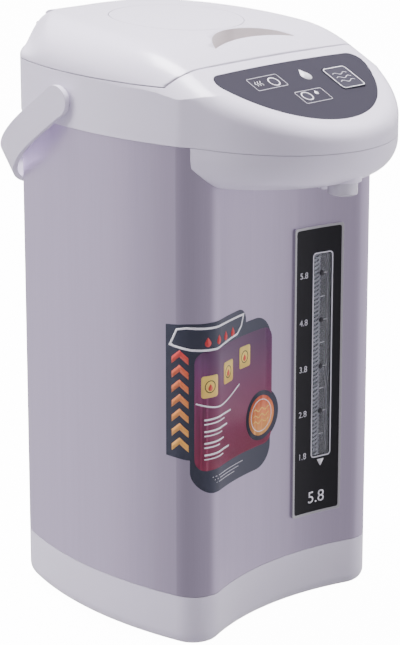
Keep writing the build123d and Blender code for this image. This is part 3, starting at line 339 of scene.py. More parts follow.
def ink(name, low, high=None, low_z=0.12, high_z=0.24, mottle=0.06):
    """Ink on the label, gauge or panel, in one colour or running from a low one to a high one."""
    return finish(name, INK_GROUP, Low_Colour=(*low, 1), High_Colour=(*(high or low), 1),
                  Low_Height=low_z, High_Height=high_z, Mottle=mottle)


# ---------------------------------------------------------------- finishes
WHITE = (0.80, 0.765, 0.865)
HANDLE_WHITE = (0.81, 0.775, 0.875)
EVEN = (1, 1, 1)          # grain that runs no way
UPRIGHT_GRAIN = (1, 1, 0.012)
LEVEL_GRAIN = (0.4, 0.4, 1)

finishes = {
    "white_abs": moulded("white_moulding", WHITE, floor=0.26, Coat_Weight=0.15,
                         Coat_Roughness=0.12),
    "handle_abs": moulded("handle_moulding", HANDLE_WHITE, floor=0.28, Coat_Weight=0.1),
    "dark_panel": moulded("panel_film", (0.026, 0.024, 0.035), floor=0.6, grain=5200.0, bump=0.2,
                          edge=0.0004, Specular_IOR_Level=0.2),
    "button": moulded("button_rubber", (0.036, 0.034, 0.048), floor=0.6, grain=4200.0, bump=0.3,
                      Specular_IOR_Level=0.25),
    "gauge_black": moulded("gauge_black", (0.008, 0.008, 0.01), floor=0.25, bump=0.05,
                           edge=0.0003, Specular_IOR_Level=0.35),
    "gauge_rim": brushed("gauge_rim_silver", (0.7, 0.69, 0.72), streak=0.9, stretch=EVEN,
                         floor=0.22, spread=0.08, bump=0.05),
    "clear": moulded("clear_plastic", (0.86, 0.9, 0.92), floor=0.06, spread=0.04, bump=0.03,
                     Transmission_Weight=0.94, IOR=1.46),
    "steel": brushed("brushed_steel", (0.70, 0.615, 0.795), streak=0.86, stretch=UPRIGHT_GRAIN,
                     floor=0.34, spread=0.1, bump=0.12),
    "tank_steel": brushed("drawn_steel", (0.66, 0.66, 0.67), streak=0.9, stretch=LEVEL_GRAIN,
                          floor=0.22, spread=0.1, bump=0.1),
    "label": moulded("label_slate", (0.036, 0.041, 0.062), floor=0.32, grain=3800.0, bump=0.05,
                     edge=0.0),
    "nozzle_plastic": moulded("milky_plastic", (0.88, 0.86, 0.92), floor=0.22, edge=0.0005,
                              Transmission_Weight=0.35, IOR=1.46),
    "inner_plastic": moulded("plain_moulding", (0.5, 0.5, 0.51), floor=0.4, grain=1800.0,
                             bump=0.3),
    "aluminium": brushed("cast_aluminium", (0.7, 0.7, 0.71), streak=0.8, stretch=EVEN,
                         floor=0.4, spread=0.2, bump=0.3),
    "silicone": moulded("silicone", (0.78, 0.78, 0.75), floor=0.42, Transmission_Weight=0.25),
    "rubber": moulded("rubber_pads", (0.03, 0.03, 0.032), floor=0.6, spread=0.2, grain=1500.0,
                      bump=0.5),
    "screw_steel": brushed("plated_steel", (0.56, 0.56, 0.57), streak=0.85, stretch=EVEN,
                           floor=0.25, spread=0.15, bump=0.1),
    "pin_brass": brushed("brass_pins", (0.72, 0.54, 0.26), streak=0.85, stretch=EVEN,
                         floor=0.25, spread=0.15, bump=0.1),
    "amber": moulded("lamp_lens", (0.032, 0.03, 0.044), floor=0.55, spread=0.05, bump=0.03,
                     Specular_IOR_Level=0.2),
    "board_green": moulded("board_laminate", (0.03, 0.16, 0.06), floor=0.35, grain=900.0,
                           bump=0.4),
}
for row in frame["record"]["subparts"]:
    piece = nodes[row["node"]]
    piece.data.materials.clear()
    piece.data.materials.append(finishes[row["material_slot"]])
# painted shade: a dark warm grey on the latch and the finger pocket's walls, standing in for the
# shade that falls into the pocket
pocket_painted_shade = moulded("pocket_painted_shade", (0.40, 0.355, 0.35), floor=0.4)
nodes["lid_latch"].data.materials[0] = pocket_painted_shade

# ---------------------------------------------------------------- lid (mm)
LID_SEAM = 405.3          # lowest edge of the lid shell
SHOULDER_X = 46.0         # the shoulders fall away outside this, clear of the hinge
SHOULDER_REACH = 96.0     # and beyond this distance towards the rear corners
TO_CORNER_X = 0.62        # which way the rear corners lie
TO_CORNER_Y = 0.78
SHOULDER_DROP = 12.5
EASE_ACROSS = 16.0        # how far the drop takes to set in, across, outwards and upwards
EASE_OUTWARDS = 20.0
EASE_UPWARDS = 22.0
LID_CREASE = math.radians(32)
SAME_POINT = 0.001

# where the painted shade goes: the upright wall faces of the finger pocket
POCKET_WALLS = ((-91.8, 47.8), (-182.85, 121.35))   # rear and front: depth of centre, radius
POCKET_OFF_WALL = 0.6     # how far off its arc a wall's face may lie
POCKET_HALF = 42.5
POCKET_FRONT = -69.6
POCKET_LOW = 414.5
POCKET_LEAN = 0.4         # rise of a normal that still counts as a wall's


def eased(value):
    """Smooth step from 0 to 1."""
    held = min(1.0, max(0.0, value))
    return held * held * (3 - 2 * held)


def in_pocket(face):
    """Whether a face of the lid belongs to an upright wall of the finger pocket, where the painted
    shade goes.
    """
    middle = face.calc_center_median() / MM
    x, y = middle.x, middle.y - shift
    on_wall = any(abs(math.hypot(x, y - centre) - radius) < POCKET_OFF_WALL
                  for centre, radius in POCKET_WALLS)
    within = abs(x) < POCKET_HALF and y > POCKET_FRONT and middle.z > POCKET_LOW
    return on_wall and within and abs(face.normal.z) < POCKET_LEAN


def lid_top():
    """Lid shell with its rear corners drawn down into soft shoulders and painted shade on the walls
    of its finger pocket.
    """
    form = bmesh.new()
    form.from_mesh(nodes["lid_shell"].data)
    bmesh.ops.remove_doubles(form, verts=form.verts[:], dist=SAME_POINT * MM)
    for vertex in form.verts:
        x, y = abs(vertex.co.x) / MM, vertex.co.y / MM - shift
        across = eased((x - SHOULDER_X) / EASE_ACROSS)
        outward = eased((TO_CORNER_X * x + TO_CORNER_Y * y - SHOULDER_REACH) / EASE_OUTWARDS)
        above = min(1.0, max(0.0, (vertex.co.z / MM - LID_SEAM) / EASE_UPWARDS))
        vertex.co.z -= SHOULDER_DROP * MM * across * outward * above
    # faces on the pocket walls take the second material, the painted shade
    for face in form.faces:
        face.material_index = int(in_pocket(face))
    data = bpy.data.meshes.new("lid_top")
    form.to_mesh(data)
    form.free()
    data.shade_smooth()
    data.set_sharp_from_angle(angle=LID_CREASE)
    data.materials.append(finishes["white_abs"])
    data.materials.append(pocket_painted_shade)
    lid = new_object("lid_top", data)
    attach(lid, "lid")
    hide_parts("lid_shell")


lid_top()

# ---------------------------------------------------------------- inks
white_ink = ink("white_ink", (0.85, 0.85, 0.87))
scale_ink = ink("scale_ink", (0.62, 0.62, 0.66))
dark_ink = ink("dark_ink", (0.015, 0.015, 0.02))
maroon_ink = ink("maroon_ink", (0.23, 0.018, 0.05), (0.10, 0.035, 0.095),
                 low_z=0.125, high_z=0.215, mottle=0.1)
yellow_ink = ink("yellow_ink", (0.80, 0.50, 0.10), (0.82, 0.66, 0.14), low_z=0.175, high_z=0.225)
orange_ink = ink("orange_ink", (0.75, 0.36, 0.08), (0.66, 0.075, 0.05), low_z=0.139, high_z=0.178)
flame_ink = ink("flame_ink", (0.78, 0.42, 0.07), (0.60, 0.05, 0.05), low_z=0.145, high_z=0.222)

# ---------------------------------------------------------------- flat shapes for print (mm)
PRINT_STEP = 1.5          # longest side that still follows a curved surface
SLIVER = 0.01             # no cut is made this close to a shape's end
ROUND_SIDES = 36
CORNER_SIDES = 6
DROP_TIP = 1.7            # height of a drop's point over its middle, in its own radius
DROP_SIDES = 16
DROP_START = 150          # degrees at which its round part starts
DROP_SWEEP = 240          # and how far it runs round
WAVE_RISE = 1.1


def rounded(x0, x1, y0, y1, radius):
    """Loop of a rounded rectangle."""
    points = []
    for x, y, start in ((x1 - radius, y0 + radius, -90), (x1 - radius, y1 - radius, 0),
                        (x0 + radius, y1 - radius, 90), (x0 + radius, y0 + radius, 180)):
        for k in range(CORNER_SIDES + 1):
            angle = math.radians(start + 90 * k / CORNER_SIDES)
            points.append((x + radius * math.cos(angle), y + radius * math.sin(angle)))
    return points


def circle(x, y, radius, sides=ROUND_SIDES):
    """Loop of a circle."""
    turn = 2 * math.pi / sides
    return [(x + radius * math.cos(k * turn), y + radius * math.sin(k * turn))
            for k in range(sides)]


def drop(x, y, size):
    """Loop of a water drop, its point upwards."""
    turns = [math.radians(DROP_START + DROP_SWEEP * k / DROP_SIDES) for k in range(DROP_SIDES + 1)]
    arc = [(x + size * math.cos(turn), y + size * math.sin(turn)) for turn in turns]
    return [(x, y + DROP_TIP * size)] + arc


def wave(x, y, length, half_wave):
    """Path of a wave that runs to the right of a point, with a point to each millimetre."""
    return [(x + k, y + WAVE_RISE * math.sin(k * math.pi / half_wave)) for k in range(length + 1)]


def divided(loop):
    """Loop with points added so that no side is longer than a print step."""
    points = []
    for (ax, ay), (bx, by) in zip(loop, loop[1:] + loop[:1]):
        parts = max(1, math.ceil(math.hypot(bx - ax, by - ay) / PRINT_STEP))
        points += [(ax + (bx - ax) * k / parts, ay + (by - ay) * k / parts) for k in range(parts)]
    return points


def shrunk(loop, width):
    """Loop moved inwards by a width, point for point."""
    points = []
    count = len(loop)
    for k, (x, y) in enumerate(loop):
        ax, ay = loop[k - 1]
        bx, by = loop[(k + 1) % count]
        length = math.hypot(bx - ax, by - ay) or 1.0
        points.append((x - (by - ay) / length * width, y + (bx - ax) / length * width))
    return points


def stroke(path, width):
    """Loop round an open line of some width."""
    left, right = [], []
    for k, (x, y) in enumerate(path):
        ax, ay = path[max(0, k - 1)]
        bx, by = path[min(len(path) - 1, k + 1)]
        length = math.hypot(bx - ax, by - ay)
        nx, ny = -(by - ay) / length * width / 2, (bx - ax) / length * width / 2
        left.append((x + nx, y + ny))
        right.append((x - nx, y - ny))
    return right + left[::-1]


class Print:
    """Thin printed shapes laid on a surface, gathered into one piece."""

    def __init__(self, name, place, lift):
        self.name = name
        self.place = place
        self.lift = lift
        self.mesh = bmesh.new()
        self.materials = []

    def fill(self, material, loop, layer=1, step=PRINT_STEP):
        """Solid shape inside a loop, cut finely enough to follow the surface."""
        flat = bmesh.new()
        flat.faces.new([flat.verts.new((x, y, 0)) for x, y in loop])
        low = min(x for x, y in loop)
        high = max(x for x, y in loop)
        cut = low + step
        while cut < high - SLIVER:
            parts = flat.verts[:] + flat.edges[:] + flat.faces[:]
            bmesh.ops.bisect_plane(flat, geom=parts, plane_co=(cut, 0, 0), plane_no=(1, 0, 0))
            cut += step
        bmesh.ops.triangulate(flat, faces=flat.faces[:])
        self._take(flat, material, layer)

    def ring(self, material, loop, width, layer=1):
        """Band along the inside of a closed loop."""
        outer = divided(loop)
        flat = bmesh.new()
        first = [flat.verts.new((x, y, 0)) for x, y in outer]
        second = [flat.verts.new((x, y, 0)) for x, y in shrunk(outer, width)]
        for k in range(len(outer)):
            after = (k + 1) % len(outer)
            flat.faces.new((first[k], first[after], second[after], second[k]))
        self._take(flat, material, layer)

    def text(self, material, words, x, y, size):
        """Numerals with their middle at a point."""
        curve = bpy.data.curves.new("numerals", "FONT")
        curve.body = words
        curve.size = size
        curve.align_x = "CENTER"
        curve.align_y = "CENTER"
        made = new_object("numerals", curve)
        graph = bpy.context.evaluated_depsgraph_get()
        plain = bpy.data.meshes.new_from_object(made.evaluated_get(graph))
        flat = bmesh.new()
        flat.from_mesh(plain)
        for vertex in flat.verts:
            vertex.co = (vertex.co.x + x, vertex.co.y + y, 0)
        self._take(flat, material, 1)
        bpy.data.objects.remove(made)
        bpy.data.meshes.remove(plain)

    def _index(self, material):
        """Place of a material in the piece's own list, where it is put if new."""
        if material not in self.materials:
            self.materials.append(material)
        return self.materials.index(material)

    def _take(self, flat, material, layer):
        """Bends flat shapes on to the surface and adds them to the piece."""
        for face in flat.faces:
            face.normal_update()
            if face.normal.z < 0:
                face.normal_flip()
        height = self.lift + INK * layer
        index = self._index(material)
        new = {v: self.mesh.verts.new(self.place(v.co.x, v.co.y, height)) for v in flat.verts}
        for face in flat.faces:
            made = self.mesh.faces.new([new[v] for v in face.verts])
            made.material_index = index
            made.smooth = True
        flat.free()

    def finished(self, body):
        """Gives the piece its thickness and sets it on its body."""
        data = bpy.data.meshes.new(self.name)
        self.mesh.to_mesh(data)
        self.mesh.free()
        for material in self.materials:
            data.materials.append(material)
        made = new_object(self.name, data)
        thick = made.modifiers.new("ink thickness", "SOLIDIFY")
        thick.thickness = INK * MM
        thick.offset = -1
        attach(made, body)


# ---------------------------------------------------------------- control panel markings (mm)
LAMPS = ((-27.7, -110.5), (-14.3, -129.5))
LAMP_RING_R = 4.9
LAMP_RING_W = 0.9
FRAMES = ((-34.0, -110.0, 15.5), (-8.3, -130.2, 14.0))     # middle, half width
FRAME_HALF = 7.0
FRAME_CORNER_R = 1.5
FRAME_LINE = 0.35
STEAM_X, STEAM_Y, STEAM_SIZE = -42.5, -109.6, 2.6
STEAM_SWAY = 0.3
STEAM_SIDES = 8
STEAM_BEND = 3            # sides to each bend
STEAM_LINE = 0.45
SMALL_DROP = (-2.9, -127.2, 1.2, 1.7)      # middle, how far it is sunk, radius
LARGE_DROP = (6.0, -109.3, 1.6, 4.6)


def on_panel(x, y, loop):
    """Loop drawn square to the slope round a plan point."""
    return [(x + du, y + dv * math.cos(SLOPE)) for du, dv in loop]


panel = Print("panel_markings", on_slope, 0.0)


def panel_drop(x, y, sunk, radius):
    """Water drop printed on the panel."""
    panel.fill(white_ink, on_panel(x, y, drop(0, -sunk, radius)))


for x, y in LAMPS:
    panel.ring(white_ink, on_panel(x, y, circle(0, 0, LAMP_RING_R)), LAMP_RING_W)
for offset in (-STEAM_SIZE, 0, STEAM_SIZE):
    rising = [(offset + STEAM_SWAY * STEAM_SIZE * math.sin(k * math.pi / STEAM_BEND),
               -STEAM_SIZE + 2 * STEAM_SIZE * k / STEAM_SIDES) for k in range(STEAM_SIDES + 1)]
    panel.fill(white_ink, on_panel(STEAM_X, STEAM_Y, stroke(rising, STEAM_LINE)))
panel_drop(*SMALL_DROP)
for x, y, half in FRAMES:
    outline = rounded(-half, half, -FRAME_HALF, FRAME_HALF, FRAME_CORNER_R)
    panel.ring(scale_ink, on_panel(x, y, outline), FRAME_LINE)
panel_drop(*LARGE_DROP)
panel.finished("pot")

BUTTON_MARGIN = 0.4
BUTTON_CORNER_R = 3.0
BUTTON_LINE = 0.75
BUTTON_WAVE_X = -7.5
BUTTON_WAVE_LENGTH = 15
BUTTON_HALF_WAVE = 5
BUTTON_WAVE_LINE = 0.5
WAVE_ROWS = (-4.5, 0.0, 4.5)

button_print = Print("button_markings", on_button, 0.0)
half = BUTTON_SIDE / 2 - BUTTON_MARGIN
button_print.ring(white_ink, rounded(-half, half, -half, half, BUTTON_CORNER_R), BUTTON_LINE)
for rise in WAVE_ROWS:
    path = wave(BUTTON_WAVE_X, rise, BUTTON_WAVE_LENGTH, BUTTON_HALF_WAVE)
    button_print.fill(scale_ink, stroke(path, BUTTON_WAVE_LINE))
button_print.finished("dispense_button")

# ---------------------------------------------------------------- water gauge scale (mm)
LEVELS = ((5.8, 252.9), (4.8, 217.4), (3.8, 181.9), (2.8, 147.4), (1.8, 114.5))
NUMERAL_X = 27.4
NUMERAL_SIZE = 6.6
POINTER_HALF = 3.2
POINTER_LOW = 104.4
POINTER_HIGH = 110.0
CAPACITY_X, CAPACITY_Z, CAPACITY_SIZE = 41.0, 80.5, 13.0
RIM_GAP = 1.3
RIM_CORNER_R = 3.0
RIM_W = 1.0

scale = Print("gauge_scale", on_gauge, GAUGE_FACE)
for litres, height in LEVELS:
    scale.text(scale_ink, f"{litres:.1f}", NUMERAL_X, height, NUMERAL_SIZE)
scale.fill(white_ink, [(WINDOW_X - POINTER_HALF, POINTER_HIGH), (WINDOW_X, POINTER_LOW),
                       (WINDOW_X + POINTER_HALF, POINTER_HIGH)])
scale.text(white_ink, "5.8", CAPACITY_X, CAPACITY_Z, CAPACITY_SIZE)
scale.ring(scale_ink, rounded(WINDOW_X - WINDOW_W / 2 - RIM_GAP, WINDOW_X + WINDOW_W / 2 + RIM_GAP,
                              WINDOW_LOW - RIM_GAP, WINDOW_HIGH + RIM_GAP, RIM_CORNER_R), RIM_W)
scale.finished("pot")


# ---------------------------------------------------------------- geometry node trees
def geometry_tree(name, sizes):
    """New geometry tree with named inputs; returns it with its input and output nodes."""
    tree = bpy.data.node_groups.new(name, "GeometryNodeTree")
    tree.interface.new_socket(name="Geometry", in_out="OUTPUT", socket_type="NodeSocketGeometry")
    for socket, kind in sizes.items():
        tree.interface.new_socket(name=socket, in_out="INPUT", socket_type=kind)
    return tree, add(tree, "NodeGroupInput"), add(tree, "NodeGroupOutput")


def upright_row(tree, start, shape, **turned):
    """Copies of a shape one above another from the foot upwards, made real."""
    step = feed(tree, add(tree, "ShaderNodeCombineXYZ"), Z=start.outputs["Pitch"])
    row = feed(tree, add(tree, "GeometryNodeMeshLine"), Count=start.outputs["Count"],
               Start_Location=start.outputs["Foot"], Offset=step.outputs[0])
    many = feed(tree, add(tree, "GeometryNodeInstanceOnPoints"), Points=row.outputs[0],
                Instance=shape.outputs[0], **turned)
    return feed(tree, add(tree, "GeometryNodeRealizeInstances"), Geometry=many.outputs[0])


def coat(tree, start, end, shape):
    """Gives the tree's result its material and hands it out."""
    coated = feed(tree, add(tree, "GeometryNodeSetMaterial"), Geometry=shape.outputs[0],
                  Material=start.outputs["Material"])
    link(tree, coated.outputs[0], end.inputs[0])


def ribs_tree():
    """Row of tilted rings along a tube."""
    tree, start, end = geometry_tree("tube ribs", {
        "Ring Radius": FLOAT, "Wire Radius": FLOAT, "Pitch": FLOAT, "Count": WHOLE,
        "Foot": VECTOR, "Tilt": VECTOR, "Material": COATING})
    path = feed(tree, add(tree, "GeometryNodeCurvePrimitiveCircle"), Resolution=28,
                Radius=start.outputs["Ring Radius"])
    wire = feed(tree, add(tree, "GeometryNodeCurvePrimitiveCircle"), Resolution=8,
                Radius=start.outputs["Wire Radius"])
    ring = feed(tree, add(tree, "GeometryNodeCurveToMesh"), Curve=path.outputs[0],
                Profile_Curve=wire.outputs[0])
    real = upright_row(tree, start, ring, Rotation=start.outputs["Tilt"])
    smooth = feed(tree, add(tree, "GeometryNodeSetShadeSmooth"), Geometry=real.outputs[0])
    coat(tree, start, end, smooth)
    return tree


def ticks_tree():
    """Row of short bars up a surface that stands upright."""
    tree, start, end = geometry_tree("scale ticks", {
        "Bar": VECTOR, "Pitch": FLOAT, "Count": WHOLE, "Foot": VECTOR, "Material": COATING})
    bar = feed(tree, add(tree, "GeometryNodeMeshCube"), Size=start.outputs["Bar"])
    coat(tree, start, end, upright_row(tree, start, bar))
    return tree


def grown(name, tree, values, body):
    """Runs a geometry tree with its values and keeps the result as a plain piece on a body."""
    made = new_object(name, bpy.data.meshes.new(name + "_seed"))
    modifier = made.modifiers.new("grow", "NODES")
    modifier.node_group = tree
    for item in tree.interface.items_tree:
        if item.in_out == "INPUT" and item.name in values:
            modifier[item.identifier] = values[item.name]
    graph = bpy.context.evaluated_depsgraph_get()
    plain = bpy.data.meshes.new_from_object(made.evaluated_get(graph))
    plain.name = name
    made.modifiers.clear()
    made.data = plain
    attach(made, body)


# ---------------------------------------------------------------- sight tube (mm)
RIB_R = 5.3
RIB_WIRE_R = 0.7
RIB_PITCH = 3.2
RIB_TILT = math.radians(-24)
RIBS_BEYOND = 3.0         # beyond the window at both ends
TROUGH_HALF = 7.4
TROUGH_FRONT = -93.0
TROUGH_BACK = -79.6
TROUGH_CHAMFER = 3.0
TROUGH_WALL = 0.8
TROUGH_BEYOND = 2.0

rib_finish = moulded("tube_rib_plastic", (0.62, 0.61, 0.68), floor=0.2, bump=0.1, edge=0.0)
rib_count = int((WINDOW_HIGH - WINDOW_LOW + 2 * RIBS_BEYOND) / RIB_PITCH)
grown("tube_ribs", ribs_tree(), {
    "Ring Radius": RIB_R * MM, "Wire Radius": RIB_WIRE_R * MM, "Pitch": RIB_PITCH * MM,
    "Count": rib_count, "Foot": metres(TUBE_X, TUBE_Y, WINDOW_LOW - RIBS_BEYOND),
    "Tilt": (0.0, RIB_TILT, 0.0), "Material": rib_finish}, "pot")


def channel(half, back, chamfer):
    """Plan line of a channel that opens to the front, from its left edge to its right."""
    return [(-half, TROUGH_FRONT), (-half, back - chamfer), (-half + chamfer, back),
            (half - chamfer, back), (half, back - chamfer), (half, TROUGH_FRONT)]


def sight_trough():
    """Dark channel behind the sight tube."""
    inner_chamfer = TROUGH_CHAMFER - 2 * TROUGH_WALL / 3
    inner = channel(TROUGH_HALF - TROUGH_WALL, TROUGH_BACK - TROUGH_WALL, inner_chamfer)
    outline = channel(TROUGH_HALF, TROUGH_BACK, TROUGH_CHAMFER) + inner[::-1]
    form = bmesh.new()
    low, high = [[form.verts.new(metres(WINDOW_X + x, y, z)) for x, y in outline]
                 for z in (WINDOW_LOW - TROUGH_BEYOND, WINDOW_HIGH + TROUGH_BEYOND)]
    form.faces.new(low)
    form.faces.new(high)
    for k in range(len(outline)):
        after = (k + 1) % len(outline)
        form.faces.new((low[k], low[after], high[after], high[k]))
    bmesh.ops.recalc_face_normals(form, faces=form.faces[:])
    data = bpy.data.meshes.new("sight_trough")
    form.to_mesh(data)
    form.free()
    data.materials.append(finishes["gauge_black"])
    trough = new_object("sight_trough", data)
    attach(trough, "pot")


sight_trough()

# ---------------------------------------------------------------- marks on the window (mm)
TICK_BAR = (5.0, 0.12, 0.45)
TICK_PITCH = 35.1
TICK_COUNT = 4
TICK_FOOT = 129.8
TICK_X = WINDOW_X + 0.5
TICK_PROUD = 0.1
MARK_X = WINDOW_X - 0.5
MARK_R = 2.0
DASH_START = WINDOW_X + 1.6
DASH_END = WINDOW_X + 5.2
DASH_HALF = 0.25
DASH_CORNER_R = 0.2

window_y = on_gauge(WINDOW_X, 0, WINDOW_FACE).y / MM - shift
grown("scale_ticks", ticks_tree(), {
    "Bar": tuple(side * MM for side in TICK_BAR), "Pitch": TICK_PITCH * MM, "Count": TICK_COUNT,
    "Foot": metres(TICK_X, window_y - TICK_PROUD, TICK_FOOT), "Material": scale_ink},
    "pot")

marks = Print("level_marks", on_gauge, WINDOW_FACE)
for _, height in LEVELS[:-1]:
    marks.fill(dark_ink, circle(MARK_X, height, MARK_R))
    dash = rounded(DASH_START, DASH_END, height - DASH_HALF, height + DASH_HALF, DASH_CORNER_R)
    marks.fill(scale_ink, dash, step=2 * PRINT_STEP)
marks.finished("pot")

# ---------------------------------------------------------------- label print (mm)
FIELD = (-98, -4.5, 134.5, 222)             # left, right, low, high
FIELD_CORNER_R = 9
BANNER = [(-117.5, 225.5), (-99.5, 222.5), (-80, 221.5), (-48, 224.5), (-42, 229.5),
          (-38.5, 238.5), (-60, 238.5), (-85, 239.0), (-103, 240.0), (-111, 238.5)]
BANNER_LINE = 1.6
BANNER_DROPS = (-88, -77, -66, -55)
BANNER_DROP_Y = 227.5
BANNER_DROP_R = 2.6
CHEVRONS = 7
CHEVRON_LEFT, CHEVRON_TIP, CHEVRON_RIGHT = -115, -108.5, -102
CHEVRON_LOW = 149
CHEVRON_PITCH = 10.6
CHEVRON_RISE = 5.5
CHEVRON_DEPTH = 5
TILES = ((-86, 196), (-62, 201), (-38, 206))
TILE_HALF_W = 7.2
TILE_HALF_H = 8
TILE_CORNER_R = 2
TILE_RING_R = 4.6
TILE_RING_W = 0.7
TILE_DROP_SUNK = 1.2
TILE_DROP_R = 1.9
BAR_LEFT = -91
BAR_TOP = 172
BAR_PITCH = 8.6
BAR_LENGTHS = (46, 38, 30, 42)
BAR_PAIR = ((0.72, -0.7, 0.7, 0.6), (0.5, -3.7, -2.7, 0.4))   # share of length, low, high, corner
SWEEP_X, SWEEP_Y = -97, 184.5
SWEEP_LENGTH, SWEEP_SAG, SWEEP_RISE = 52, 6.5, 3.0
SWEEP_SIDES = 20
SWEEP_LINE = 1.1
BADGE_X, BADGE_Y = -17, 157
BADGE_SIDES = 48
BADGE_EDGE_R, BADGE_FIELD_R, BADGE_LINE_R = 18.6, 15.0, 12.2
BADGE_LINE = 0.5
BADGE_WAVE_X = BADGE_X - 9
BADGE_WAVE_LENGTH = 18
BADGE_HALF_WAVE = 4
BADGE_WAVE_LINE = 0.8
SMALL_LINES = 3
SMALL_LEFT, SMALL_INDENT = -84, 2
SMALL_RIGHT, SMALL_SHORTER = -40, 6
SMALL_LOW, SMALL_HIGH, SMALL_PITCH = 128.6, 129.1, 2.4
SMALL_CORNER_R = 0.2
SMALL_STEP = 4

label = Print("label_print", on_body, LABEL_FACE)
label.fill(maroon_ink, rounded(*FIELD, FIELD_CORNER_R))
label.ring(white_ink, BANNER, BANNER_LINE, layer=2)
for x in BANNER_DROPS:
    label.fill(flame_ink, drop(x, BANNER_DROP_Y, BANNER_DROP_R), layer=2)
for k in range(CHEVRONS):
    y = CHEVRON_LOW + CHEVRON_PITCH * k
    label.fill(flame_ink, [(CHEVRON_LEFT, y), (CHEVRON_TIP, y + CHEVRON_RISE), (CHEVRON_RIGHT, y),
                           (CHEVRON_RIGHT, y + CHEVRON_DEPTH),
                           (CHEVRON_TIP, y + CHEVRON_RISE + CHEVRON_DEPTH),
                           (CHEVRON_LEFT, y + CHEVRON_DEPTH)])
for x, y in TILES:
    tile = rounded(x - TILE_HALF_W, x + TILE_HALF_W, y - TILE_HALF_H, y + TILE_HALF_H,
                   TILE_CORNER_R)
    label.fill(yellow_ink, tile, layer=2)
    label.ring(dark_ink, circle(x, y, TILE_RING_R), TILE_RING_W, layer=3)
    label.fill(orange_ink, drop(x, y - TILE_DROP_SUNK, TILE_DROP_R), layer=3)
for k, length in enumerate(BAR_LENGTHS):
    y = BAR_TOP - BAR_PITCH * k
    for share, low, high, corner_r in BAR_PAIR:
        bar = rounded(BAR_LEFT, BAR_LEFT + length * share, y + low, y + high, corner_r)
        label.fill(white_ink, bar, layer=2)
sweep = [(SWEEP_X + SWEEP_LENGTH * k / SWEEP_SIDES,
          SWEEP_Y - SWEEP_SAG * math.sin(math.pi * k / SWEEP_SIDES) + SWEEP_RISE * k / SWEEP_SIDES)
         for k in range(SWEEP_SIDES + 1)]
label.fill(white_ink, stroke(sweep, SWEEP_LINE), layer=2)
label.fill(finishes["label"], circle(BADGE_X, BADGE_Y, BADGE_EDGE_R, BADGE_SIDES), layer=2)
label.fill(orange_ink, circle(BADGE_X, BADGE_Y, BADGE_FIELD_R, BADGE_SIDES), layer=3)
label.ring(white_ink, circle(BADGE_X, BADGE_Y, BADGE_LINE_R, BADGE_SIDES), BADGE_LINE, layer=4)
for rise in WAVE_ROWS:
    path = wave(BADGE_WAVE_X, BADGE_Y + rise, BADGE_WAVE_LENGTH, BADGE_HALF_WAVE)
    label.fill(yellow_ink, stroke(path, BADGE_WAVE_LINE), layer=4)
for k in range(SMALL_LINES):
    line = rounded(SMALL_LEFT + SMALL_INDENT * k, SMALL_RIGHT - SMALL_SHORTER * k,
                   SMALL_LOW - SMALL_PITCH * k, SMALL_HIGH - SMALL_PITCH * k, SMALL_CORNER_R)
    label.fill(scale_ink, line, step=SMALL_STEP)
label.finished("pot")

# ---------------------------------------------------------------- studio (metres)
FLOOR_GLOW = 14.0           # how brightly the camera sees floor and backdrop
FLOOR_HALF = 9.0
FLOOR_Z = -0.0002
LIGHT_TINT = (1.0, 0.965, 1.045)
MATT_LOSS = 0.2             # share of the surroundings that matt light goes without
SURROUNDINGS = (            # share of the turn, brightness
    (0.0, 0.38), (0.06, 0.37), (0.12, 0.37), (0.25, 0.45), (0.335, 0.40), (0.365, 0.84),
    (0.47, 0.90), (0.57, 1.25), (0.60, 1.3), (0.64, 0.6), (0.69, 1.02), (0.75, 1.06),
    (0.88, 1.06), (0.91, 0.64), (0.94, 0.40), (1.0, 0.38))
CAMERA_TURN = 0.8205        # radians off the pot's front, towards its left
CAMERA_DIP = 0.2653
CAMERA_AT = (-1257.7, -1187.4, 676.3)       # in the part's own millimetres
CAMERA_LENS = 133.5
SENSOR_HEIGHT = 36


def studio_floor():
    """Large pale floor."""
    data = bpy.data.meshes.new("studio_floor")
    corners = [(-FLOOR_HALF, -FLOOR_HALF, 0), (FLOOR_HALF, -FLOOR_HALF, 0),
               (FLOOR_HALF, FLOOR_HALF, 0), (-FLOOR_HALF, FLOOR_HALF, 0)]
    data.from_pydata(corners, [], [(0, 1, 2, 3)])
    floor = new_object("studio_floor", data)
    floor.location.z = FLOOR_Z
    floor.visible_glossy = False
    paper = moulded("floor_paper", (0.36, 0.35, 0.38), floor=0.8, grain=300.0, edge=0.0)
    tree = paper.node_tree
    shader = tree.nodes["Principled BSDF"]
    shader.inputs["Emission Color"].default_value = (1, 1, 1, 1)
    seen = add(tree, "ShaderNodeLightPath").outputs["Is Camera Ray"]
    glow = maths(tree, "MULTIPLY", seen, FLOOR_GLOW)
    link(tree, glow, shader.inputs["Emission Strength"])
    data.materials.append(paper)


def studio_light(name, place, target, size, power, mirrored=True):
    """Soft oblong light aimed at a point, kept out of reflections if asked."""
    lamp = bpy.data.lights.new(name, "AREA")
    lamp.shape = "RECTANGLE"
    lamp.size, lamp.size_y = size
    lamp.energy = power
    lamp.color = [part / max(LIGHT_TINT) for part in LIGHT_TINT]
    holder = new_object(name, lamp)
    holder.location = place
    holder.visible_glossy = mirrored
    aim = Vector(target) - Vector(place)
    holder.rotation_euler = aim.to_track_quat("-Z", "Y").to_euler()


